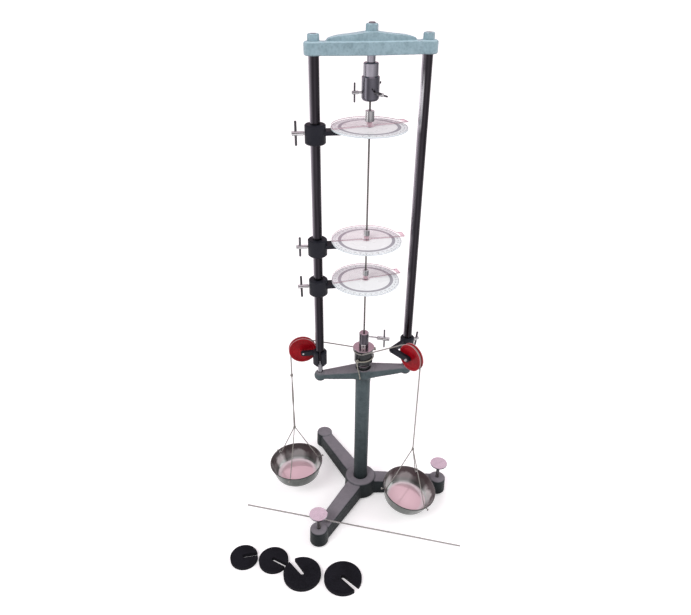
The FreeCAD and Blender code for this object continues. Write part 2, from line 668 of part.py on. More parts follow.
def tilted(shape, side):
    """Tilt a shape modelled about the rim's centre, and carry it to its place."""
    tilt, low_side = HANGING[side][3:]
    moved = shape.copy()
    moved.rotate(V(0, 0, 0), heading(low_side + 90), tilt)
    moved.translate(pan_spot(side))
    return moved


def pan(side):
    """Spun bowl with a rolled rim and three string holes."""
    low = -PAN_DEPTH
    w = PAN_WALL
    r = PAN_CORNER_R
    outer = [PAN_FLOOR_R + r * math.sin(math.radians(a)) for a in (35, 70)]
    rise = [r - r * math.cos(math.radians(a)) for a in (35, 70)]
    inner = [PAN_FLOOR_R + (r - w) * math.sin(math.radians(a)) for a in (35, 70)]
    inner_rise = [r - (r - w) * math.cos(math.radians(a)) for a in (35, 70)]
    bowl = turned([(0, low), (PAN_FLOOR_R, low), ("arc", (outer[0], low + rise[0]), (outer[1], low + rise[1])),
                   (PAN_R - w, -2.4), ("arc", (PAN_R + 0.9, -1.2), (PAN_R - w, 0)), (PAN_R - 2 * w, -1),
                   (inner[1], low + inner_rise[1]),
                   ("arc", (inner[0], low + inner_rise[0]), (PAN_FLOOR_R, low + w)), (0, low + w)])
    for azimuth in HANGING[side][2]:
        hole = bar(heading(azimuth, 50) - V(0, 0, PAN_HOLE_DROP),
                   heading(azimuth, 90) - V(0, 0, PAN_HOLE_DROP), STRING_R + 1)
        bowl = bowl.cut(hole)
    return tilted(bowl, side)


def hanger(side):
    """Three strings from one knot to the pan's rim, knotted outside it."""
    rim_z, knot_z, holes, tilt, low_side = HANGING[side]
    spot = pan_spot(side)
    below_knot = V(spot.x, spot.y, knot_z - 4.3)
    pieces = [cord_knot(below_knot, 4.0, 4.0)]
    for azimuth in holes:
        ends = [heading(azimuth, reach) - V(0, 0, PAN_HOLE_DROP) for reach in (60.5, 74.0)]
        inner, outer = [tilted(Part.Vertex(end), side).Point for end in ends]
        top = below_knot + heading(azimuth, 0.8)
        pieces.append(cord_tube([top, inner, outer], STRING_R, {1: 3 * STRING_R}))
        pieces.append(cord_knot(outer, 2.8, 2.8))
    if side == "left":
        upper = V(spot.x, spot.y, LEFT_CORD_ROUTE[-1][2] - 3.9)
        pieces += [bar(below_knot, upper, 2 * STRING_R), cord_knot(upper, 3.6, 3.6)]
    return fused(*pieces)


def slotted_weight(x, y, r, height, slot_azimuth, slot_width, mouth_width):
    """Cast disc with a slot that widens from its centre to its rim."""
    disc = turned([(0, 0), (r - 1, 0), (r, 1), (r, height - 1), (r - 1, height), (0, height)])
    half, half_mouth = slot_width / 2, mouth_width / 2
    taper = (half_mouth - half) / r
    beyond = r + 5
    plan = polygon([V(0, -half, -1), V(beyond, -half - taper * beyond, -1), V(beyond, half + taper * beyond, -1),
                    V(0, half, -1)])
    slot = plan.extrude(V(0, 0, height + 2)).fuse(cylinder(half, -1, height + 1))
    return along(disc.cut(along(slot, V(0, 0, 0), slot_azimuth)), V(x, y, 0), 0)


def build():
    parts = {
        "tripod_base": tripod_base(),
        "rear_foot": rear_foot(),
        "front_levelling_screw": levelling_screw("front"),
        "right_levelling_screw": levelling_screw("right"),
        "column_bolt": column_bolt(),
        "column": column(),
        "lower_crossarm": lower_crossarm(),
        "left_upright": upright(-1),
        "right_upright": upright(1),
        "upper_crosshead": upper_crosshead(),
        "upright_nuts": upright_nuts(),
        "chuck_lock_nut": chuck_lock_nut(),
        "upper_chuck_shank": upper_chuck_shank(),
        "upper_chuck_sleeve": upper_chuck_sleeve(),
        "upper_chuck_body": upper_chuck_body(),
        "specimen_rod": mounted_rod(),
        "drum_pivot": drum_pivot(),
        "drum_thrust_ring": drum_thrust_ring(),
        "torsion_drum": torsion_drum(),
        "drum_flange": drum_flange(),
        "lower_chuck": lower_chuck(),
        "lower_chuck_screw": lower_chuck_screw(),
        "drum_cord": drum_cord(),
        "left_pulley_bracket": left_pulley_bracket(),
        "right_pulley_bracket": right_pulley_bracket(),
        "left_bracket_screw": left_bracket_screw(),
        "right_bracket_screw": right_bracket_screw(),
        "left_axle": axle(LEFT_PULLEY, LEFT_FACE),
        "right_axle": axle(RIGHT_PULLEY, RIGHT_FACE),
        "left_pulley": pulley(LEFT_PULLEY, LEFT_FACE),
        "right_pulley": pulley(RIGHT_PULLEY, RIGHT_FACE),
        "left_cord": left_cord(),
        "right_cord": right_cord(),
        "left_pan": pan("left"),
        "right_pan": pan("right"),
        "left_hanger": hanger("left"),
        "right_hanger": hanger("right"),
        "spare_rod": spare_rod(),
    }
    for i, (azimuth, tilt) in enumerate(zip(CHUCK_SCREW_AZIMUTHS, (0.0, 72.0, 35.0)), start=1):
        parts["chuck_screw_%d" % i] = upper_chuck_screw(azimuth, tilt)
    for i, top in enumerate(DIAL_TOPS, start=1):
        parts["dial_bracket_%d" % i] = dial_bracket(top)
        parts["dial_disc_%d" % i] = dial_disc(top)
        parts["dial_screw_%d" % i] = dial_screw(top, DIAL_SCREW_TILTS[i - 1])
        parts["pointer_blade_%d" % i] = pointer_blade(top, POINTER_ANGLES[i - 1])
        parts["pointer_collar_%d" % i] = pointer_collar(top, *POINTER_COLLARS[i - 1])
    for name, sizes in WEIGHTS.items():
        parts[name] = slotted_weight(*sizes)
    return parts


def main():
    os.makedirs("parts", exist_ok=True)
    for name, shape in build().items():
        if not shape.isValid():
            raise ValueError(name + " is not a valid shape")
        shape.exportStep("parts/%s.step" % name)
        box = shape.BoundBox
        print("%-24s volume %10.1f  z %.1f to %.1f" % (name, shape.Volume, box.ZMin, box.ZMax))


main()
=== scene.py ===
"""Looks of the statical torsion apparatus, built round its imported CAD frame."""
import bmesh
import bpy
import json
import math
from mathutils import Matrix, Vector


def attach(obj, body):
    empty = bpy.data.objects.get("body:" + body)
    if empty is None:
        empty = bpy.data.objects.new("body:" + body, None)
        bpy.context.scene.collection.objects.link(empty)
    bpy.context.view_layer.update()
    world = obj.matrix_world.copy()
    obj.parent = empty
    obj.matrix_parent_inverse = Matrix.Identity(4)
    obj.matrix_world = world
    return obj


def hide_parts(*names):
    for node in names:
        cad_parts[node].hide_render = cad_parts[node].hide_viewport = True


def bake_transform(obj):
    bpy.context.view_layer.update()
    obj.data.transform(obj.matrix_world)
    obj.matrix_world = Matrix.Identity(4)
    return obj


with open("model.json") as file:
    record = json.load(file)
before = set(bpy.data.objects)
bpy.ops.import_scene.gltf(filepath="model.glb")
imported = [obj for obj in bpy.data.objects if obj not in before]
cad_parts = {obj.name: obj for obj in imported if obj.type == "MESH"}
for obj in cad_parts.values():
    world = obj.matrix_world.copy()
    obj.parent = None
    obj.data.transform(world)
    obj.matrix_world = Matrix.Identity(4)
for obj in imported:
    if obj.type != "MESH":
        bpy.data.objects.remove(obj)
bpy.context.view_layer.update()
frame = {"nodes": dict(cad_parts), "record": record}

MM = 0.001
UP = Vector((0.0, 0.0, 1.0))
ON_AXIS = (0, 0, 0)
SCENE = bpy.context.scene
BODY_OF = {node: body for body, nodes in frame["record"]["behaviour"]["bodies"].items() for node in nodes}

# Sizes in millimetres, the same as in the part's source where it has them
UPRIGHT_X = 105.0
NECK_TOP = 436.0
DIAL_TOPS = (984.1, 750.8, 657.2)
BLADE_TOP = 3.2
LEFT_PULLEY = (-144.0, 23.8, 468.0)
RIGHT_PULLEY = (97.7, -74.6, 489.0)
CORD_R = 1.5
STRING_R = 1.2
KNOT_STRAND_R = 1.35
LEG_REACH = 212.0
PAN_HOLE_DROP = 6.0
WINDING_CONTROL_R = 24.15
# Azimuths, in degrees
POINTER_ANGLES = (14.0, 2.0, 10.6)
PULLEY_FACES = {"left": -90.0, "right": -148.0}
LEG_AZIMUTHS = {"right": -9.0, "front": -129.0, "rear": 111.0}
CHUCK_FLAT = -104.0
# Rim height, knot height, hole azimuths, tilt and low side's azimuth of each pan
HANGING = {
    "left": (108.0, 232.0, (10.0, 130.0, 250.0), 3.0, 180.0),
    "right": (91.0, 231.0, (60.0, 180.0, 300.0), 13.0, -41.0),
}

# Routes of the cords, in metres, with one point more about six diameters from each pulley
LEFT_CORD_ROUTE = [(0.0, 0.0238, 0.458), (-0.1185, 0.0238, 0.4908), (-0.1498, 0.0238, 0.4995),
                   (-0.1728, 0.0238, 0.4826), (-0.1728, 0.0238, 0.4500), (-0.1728, 0.0238, 0.398)]
RIGHT_CORD_ROUTE = [(-0.0075, -0.0226, 0.4695), (0.0690, -0.0480, 0.5041), (0.0842, -0.0530, 0.5110),
                    (0.0992, -0.0771, 0.5216), (0.1130, -0.0990, 0.5045), (0.1130, -0.0990, 0.4710),
                    (0.1130, -0.0990, 0.231)]
TAIL_ROUTE = [(-0.0189, -0.0196, 0.447), (-0.0186, -0.0228, 0.434), (-0.0144, -0.0256, 0.421),
              (-0.0122, -0.0262, 0.405)]
DOUBLED_ROUTE = [(-0.1728, 0.0238, 0.3925), (-0.1728, 0.0238, 0.3400), (-0.1728, 0.0238, 0.2850),
                 (-0.1728, 0.0238, 0.2300)]
# Start azimuth, start height, end azimuth and end height of the wound ends
REAR_WINDING = (89.0, 458.0, -128.0, 448.0)
FRONT_WINDING = (-111.5, 469.5, -352.8, 470.0)


def mm(x, y, z):
    return Vector((x, y, z)) * MM


def heading(degrees, length=1.0):
    angle = math.radians(degrees)
    return Vector((length * math.cos(angle), length * math.sin(angle), 0.0))


def rgb(r, g, b):
    return (r, g, b, 1.0)


BLACK = rgb(0.0, 0.0, 0.0)
WHITE = rgb(1.0, 1.0, 1.0)
GREY = rgb(0.5, 0.5, 0.5)


# Node helpers


def add(tree, kind, inputs=None, **settings):
    """New node with its settings, and inputs given as values or as sockets to link."""
    made = tree.nodes.new(kind)
    for name, value in settings.items():
        setattr(made, name, value)
    for name, value in (inputs or {}).items():
        socket = made.inputs[name]
        if isinstance(value, bpy.types.NodeSocket):
            tree.links.new(value, socket)
        else:
            socket.default_value = value
    return made


def maths(tree, operation, a, b=0.0, clamp=False):
    return add(tree, "ShaderNodeMath", {0: a, 1: b}, operation=operation, use_clamp=clamp).outputs[0]


def times(tree, a, b):
    return maths(tree, "MULTIPLY", a, b)


def plus(tree, a, b, clamp=False):
    return maths(tree, "ADD", a, b, clamp)


def rest_of(tree, share):
    return maths(tree, "SUBTRACT", 1.0, share)


def vectors(tree, operation, a, b=(0.0, 0.0, 0.0)):
    return add(tree, "ShaderNodeVectorMath", {0: a, 1: b}, operation=operation).outputs[0]


def length_of(tree, vector):
    return add(tree, "ShaderNodeVectorMath", {0: vector}, operation="LENGTH").outputs["Value"]


def split(tree, vector):
    return add(tree, "ShaderNodeSeparateXYZ", {0: vector}).outputs


def value_mix(tree, share, a, b):
    return add(tree, "ShaderNodeMix", {0: share, 2: a, 3: b}).outputs[0]


def colour_mix(tree, share, a, b):
    return add(tree, "ShaderNodeMix", {0: share, 6: a, 7: b}, data_type="RGBA").outputs[2]


def spread(tree, value, low, high, to_low=0.0, to_high=1.0):
    """Value stretched from one range to another, and held inside it."""
    inputs = {"Value": value, "From Min": low, "From Max": high, "To Min": to_low, "To Max": to_high}
    return add(tree, "ShaderNodeMapRange", inputs, clamp=True).outputs[0]


def noise(tree, vector, scale, detail=2.0, roughness=0.5):
    inputs = {"Vector": vector, "Scale": scale, "Detail": detail, "Roughness": roughness}
    return add(tree, "ShaderNodeTexNoise", inputs).outputs["Fac"]


def place_on(tree):
    return add(tree, "ShaderNodeTexCoord").outputs["Object"]


def facing_up(tree):
    """How far a surface faces up, from -1 to 1."""
    return split(tree, add(tree, "ShaderNodeNewGeometry").outputs["Normal"])[2]


def own_place(tree):
    """Place about the piece's own axis, in millimetres."""
    return add(tree, "ShaderNodeAttribute", attribute_name="own_axis").outputs["Vector"]


def across_axis(tree, own):
    return vectors(tree, "MULTIPLY", own, (1.0, 1.0, 0.0))


def own_radius(tree, own):
    return length_of(tree, across_axis(tree, own))


def effect(name, inputs, outputs=("Colour", "Roughness", "Height")):
    """Empty shader group with named sockets: its tree, what it is given, and its output node."""
    tree = bpy.data.node_groups.new(name, "ShaderNodeTree")
    for socket, default in inputs.items():
        kind = "NodeSocketFloat" if isinstance(default, float) else "NodeSocketColor"
        tree.interface.new_socket(socket, in_out="INPUT", socket_type=kind).default_value = default
    for socket in outputs:
        kind = "NodeSocketColor" if socket == "Colour" else "NodeSocketFloat"
        tree.interface.new_socket(socket, in_out="OUTPUT", socket_type=kind)
    return tree, tree.nodes.new("NodeGroupInput").outputs, tree.nodes.new("NodeGroupOutput")


def put_out(tree, leave, **sockets):
    for name, socket in sockets.items():
        tree.links.new(socket, leave.inputs[name])


# Effects that several finishes share


def hammer_effect():
    """Hammer enamel: shallow pebbles, a painted highlight on what faces up, painted shade below and towards
    a foot.
    """
    tree, given, leave = effect("hammer_enamel", {
        "Deep": GREY, "Bright": GREY, "Top highlight": GREY, "Top highlight share": 0.5, "Cells": 300.0, "Foot shade": 1.0,
        "Foot height": 0.001})
    place = place_on(tree)
    drift = add(tree, "ShaderNodeTexNoise", {"Vector": place, "Scale": 140.0, "Detail": 2.0})
    moved = add(tree, "ShaderNodeVectorMath", {0: drift.outputs["Color"], "Scale": 0.0035},
                operation="SCALE").outputs[0]
    bent = vectors(tree, "ADD", place, moved)
    cells = add(tree, "ShaderNodeTexVoronoi", {"Vector": bent, "Scale": given["Cells"], "Smoothness": 0.55},
                feature="SMOOTH_F1").outputs["Distance"]
    pebble = spread(tree, cells, 0.12, 0.62)
    cloud = spread(tree, noise(tree, place, 22.0, 3.0), 0.3, 0.7)
    drifts = spread(tree, noise(tree, place, 75.0), 0.32, 0.68)
    blend = plus(tree, times(tree, pebble, 0.3), times(tree, cloud, 0.3))
    blend = plus(tree, blend, times(tree, drifts, 0.4))
    paint = colour_mix(tree, blend, given["Deep"], given["Bright"])
    up = facing_up(tree)
    top = spread(tree, up, 0.35, 0.95)
    # Painted shade: darker towards the foot, and darker on faces that look down
    low = spread(tree, split(tree, place)[2], 0.0, given["Foot height"], given["Foot shade"])
    shaded_paint = colour_mix(tree, maths(tree, "MAXIMUM", low, top, clamp=True), BLACK, paint)
    shaded_paint = colour_mix(tree, spread(tree, up, -0.15, -0.85, 0.0, 0.5), shaded_paint, BLACK)
    # Painted highlight on what faces up, in the top highlight colour
    top_highlight = times(tree, top, given["Top highlight share"])
    varied = times(tree, top_highlight, spread(tree, blend, 0.2, 0.8, 0.8, 1.0))
    put_out(tree, leave, Colour=colour_mix(tree, varied, shaded_paint, given["Top highlight"]),
            Roughness=spread(tree, pebble, 0.0, 1.0, 0.30, 0.48), Height=rest_of(tree, pebble))
    return tree


# Azimuth and brightness of the painted reflection bands on a polished round piece
TURNED_BANDS = ((-180, 0.50), (-165, 0.63), (-154, 0.40), (-145, 0.55), (-137, 0.88), (-130, 0.82),
                (-124, 0.34), (-118, 0.07), (-112, 0.14), (-100, 0.26), (-89, 0.34), (-74, 0.23),
                (-60, 0.10), (-42, 0.12), (-15, 0.40), (20, 0.15), (45, 0.80), (68, 0.10), (95, 0.60),
                (120, 0.10), (150, 0.50), (180, 0.50))
BAR_BANDS = ((-180, 0.50), (-168, 0.90), (-158, 0.80), (-143, 0.42), (-128, 0.15), (-114, 0.02),
             (-101, 0.04), (-88, 0.055), (-75, 0.01), (-60, 0.00), (-44, 0.03), (-25, 0.12), (-8, 0.35),
             (20, 0.10), (45, 0.45), (62, 0.08), (85, 0.30), (105, 0.05), (130, 0.25), (150, 0.10),
             (180, 0.45))
SLEEVE_BANDS = ((-180, 0.40), (-163, 0.50), (-142, 0.75), (-127, 0.90), (-113, 0.66), (-100, 0.68),
                (-88, 0.68), (-74, 0.36), (-59, 0.16), (-38, 0.06), (-15, 0.40), (20, 0.15), (45, 0.80),
                (68, 0.10), (95, 0.60), (120, 0.10), (150, 0.50), (180, 0.40))
# Painted reflections on the pans' inner walls: window panes between dark walls
PAN_BANDS = ((-180, 0.20), (-150, 0.12), (-100, 0.30), (-60, 0.22), (-30, 0.25), (-12, 0.75), (8, 0.85),
             (18, 0.50), (26, 0.08), (48, 0.04), (60, 0.15), (70, 0.42), (95, 0.45), (108, 0.20),
             (118, 0.12), (128, 0.75), (146, 0.85), (154, 0.15), (168, 0.10), (180, 0.20))


def polish_bands(tree, parts, bands):
    """Painted reflection bands: brightness of a ground surface by its azimuth about its own axis."""
    turn = spread(tree, maths(tree, "ARCTAN2", parts[1], parts[0]), -math.pi, math.pi)
    ramp = add(tree, "ShaderNodeValToRGB", {"Fac": turn})
    stops = ramp.color_ramp.elements
    stops.remove(stops[-1])
    for degrees, value in bands[1:]:
        stops.new((degrees + 180.0) / 360.0).color = rgb(value, value, value)
    stops[0].position = 0.0
    stops[0].color = rgb(bands[0][1], bands[0][1], bands[0][1])
    return ramp.outputs["Color"]


def turning_effect(name, bands, flat_from=0.25, flat_to=0.8):
    """Fine rings left by the lathe, cloudy stains, long painted reflection bands, and a painted reflection
    on the top.
    """
    tree, given, leave = effect(name, {
        "Deep": GREY, "Bright": GREY, "Top": GREY, "Top share": 0.0, "Rings per mm": 3.0, "Stain": 0.4,
        "Bands": 0.0, "Smooth": 0.12, "Coarse": 0.32})
    own = own_place(tree)
    parts = split(tree, own)
    up = spread(tree, facing_up(tree), flat_from, flat_to)
    walk = times(tree, plus(tree, own_radius(tree, own), parts[2]), given["Rings per mm"])
    ring_inputs = {"W": walk, "Scale": 1.0, "Detail": 3.0, "Roughness": 0.6}
    rings = add(tree, "ShaderNodeTexNoise", ring_inputs, noise_dimensions="1D").outputs["Fac"]
    cloud = spread(tree, noise(tree, place_on(tree), 70.0, 4.0, 0.6), 0.35, 0.68)
    fine = times(tree, spread(tree, rings, 0.3, 0.7), 0.35)
    mixed = plus(tree, times(tree, cloud, given["Stain"]), fine, clamp=True)
    # Painted reflection bands on the sides, and a painted reflection on what faces up
    on_side = times(tree, given["Bands"], rest_of(tree, up))
    banded = value_mix(tree, on_side, rest_of(tree, mixed), polish_bands(tree, parts, bands))
    side = colour_mix(tree, banded, given["Deep"], given["Bright"])
    top = times(tree, up, given["Top share"])
    speckled = times(tree, top, spread(tree, mixed, 0.0, 1.0, 1.0, 0.75))
    put_out(tree, leave, Colour=colour_mix(tree, speckled, side, given["Top"]), Height=rings,
            Roughness=spread(tree, mixed, 0.0, 1.0, given["Smooth"], given["Coarse"]))
    return tree


def drawn_effect():
    """Streaks along a ground bar with painted reflection bands, darker near its foot, and one painted
    glint.
    """
    tree, given, leave = effect("drawn_streaks", {
        "Deep": GREY, "Bright": GREY, "Streaks": 3.0, "Bands": 0.5, "Dark foot": 1.0, "Glint z": 0.0,
        "Foot z": 480.0, "Head z": 1100.0})
    own = own_place(tree)
    parts = split(tree, own)
    round_it = vectors(tree, "NORMALIZE", across_axis(tree, own))
    climb = add(tree, "ShaderNodeCombineXYZ", {2: times(tree, parts[2], 0.004)}).outputs[0]
    path = vectors(tree, "ADD", round_it, climb)
    fine = noise(tree, path, times(tree, given["Streaks"], 6.0), 4.0, 0.7)
    broad = noise(tree, path, given["Streaks"])
    streak = plus(tree, times(tree, spread(tree, fine, 0.3, 0.7), 0.4),
                  times(tree, spread(tree, broad, 0.35, 0.65), 0.6), clamp=True)
    banded = value_mix(tree, given["Bands"], streak, polish_bands(tree, parts, BAR_BANDS))
    foot = spread(tree, parts[2], given["Foot z"], given["Head z"], given["Dark foot"])
    colour = colour_mix(tree, times(tree, banded, foot), given["Deep"], given["Bright"])
    # Painted highlight: a glint on the bar's left face, about a given height
    left_face = spread(tree, split(tree, round_it)[0], -0.42, -0.62)
    from_glint = maths(tree, "ABSOLUTE", maths(tree, "SUBTRACT", parts[2], given["Glint z"]))
    glint = times(tree, left_face, spread(tree, from_glint, 58.0, 22.0))
    put_out(tree, leave, Colour=colour_mix(tree, times(tree, glint, 0.65), colour, rgb(0.80, 0.80, 0.84)),
            Roughness=spread(tree, streak, 0.0, 1.0, 0.34, 0.18), Height=fine)
    return tree


def grain_effect():
    """Fine grain with soft clouds, for enamel, sheet, ink and sand castings."""
    tree, given, leave = effect("fine_grain", {
        "Deep": GREY, "Bright": GREY, "Grain scale": 900.0, "Rough low": 0.3, "Rough high": 0.5,
        "Cloud scale": 40.0})
    place = place_on(tree)
    grain = noise(tree, place, given["Grain scale"], 3.0, 0.6)
    cloud = spread(tree, noise(tree, place, given["Cloud scale"], 3.0), 0.32, 0.68)
    specks = times(tree, spread(tree, grain, 0.35, 0.65), 0.5)
    mixed = plus(tree, specks, times(tree, cloud, 0.5), clamp=True)
    put_out(tree, leave, Colour=colour_mix(tree, mixed, given["Deep"], given["Bright"]), Height=grain,
            Roughness=spread(tree, cloud, 0.0, 1.0, given["Rough low"], given["Rough high"]))
    return tree


def plait_effect():
    """Diamond plait of a cord, along the cord's own map."""
    tree, given, leave = effect("cord_plait", {"Deep": GREY, "Bright": GREY, "Strands": 5.0, "Lay": 0.9},
                                ("Colour", "Height"))
    parts = split(tree, add(tree, "ShaderNodeTexCoord").outputs["UV"])
    around = times(tree, parts[0], given["Strands"])
    along = times(tree, parts[1], given["Lay"])
    waves = []
    for operation in ("ADD", "SUBTRACT"):
        phase = times(tree, maths(tree, operation, around, along), 2 * math.pi)
        waves.append(maths(tree, "SINE", phase))
    woven = spread(tree, maths(tree, "MAXIMUM", *waves), -0.2, 1.0)
    place = place_on(tree)
    fibre = noise(tree, place, 2600.0)
    soiled = spread(tree, noise(tree, place, 45.0, 3.0), 0.4, 0.7, 1.0, 0.72)
    share = times(tree, times(tree, woven, soiled), spread(tree, fibre, 0.3, 0.7, 0.75, 1.0))
    put_out(tree, leave, Colour=colour_mix(tree, share, given["Deep"], given["Bright"]),
            Height=plus(tree, woven, times(tree, fibre, 0.25)))
    return tree


HAMMER = hammer_effect()
TURNING = turning_effect("turning_marks", TURNED_BANDS)
SLEEVE = turning_effect("sleeve_marks", SLEEVE_BANDS)
SPINNING = turning_effect("spinning_marks", PAN_BANDS, 0.80, 0.93)
DRAWN = drawn_effect()
GRAIN = grain_effect()
PLAIT = plait_effect()


# Finishes


def finish(name, group, bump, depth, values, **shader):
    """Material from an effect, given its relief, the effect's inputs in order, and shader settings."""
    material = bpy.data.materials.new(name)
    material.use_nodes = True
    tree = material.node_tree
    principled = tree.nodes["Principled BSDF"]
    for socket, value in shader.items():
        principled.inputs[socket.replace("_", " ")].default_value = value
    made = add(tree, "ShaderNodeGroup", node_tree=group)
    for socket, value in zip(made.inputs, values):
        socket.default_value = value if isinstance(value, float) else (*value, 1.0)
    tree.links.new(made.outputs["Colour"], principled.inputs["Base Color"])
    if "Roughness" in made.outputs:
        tree.links.new(made.outputs["Roughness"], principled.inputs["Roughness"])
    relief = add(tree, "ShaderNodeBump", {
        "Strength": bump, "Distance": depth, "Height": made.outputs["Height"]})
    tree.links.new(relief.outputs["Normal"], principled.inputs["Normal"])
    return material


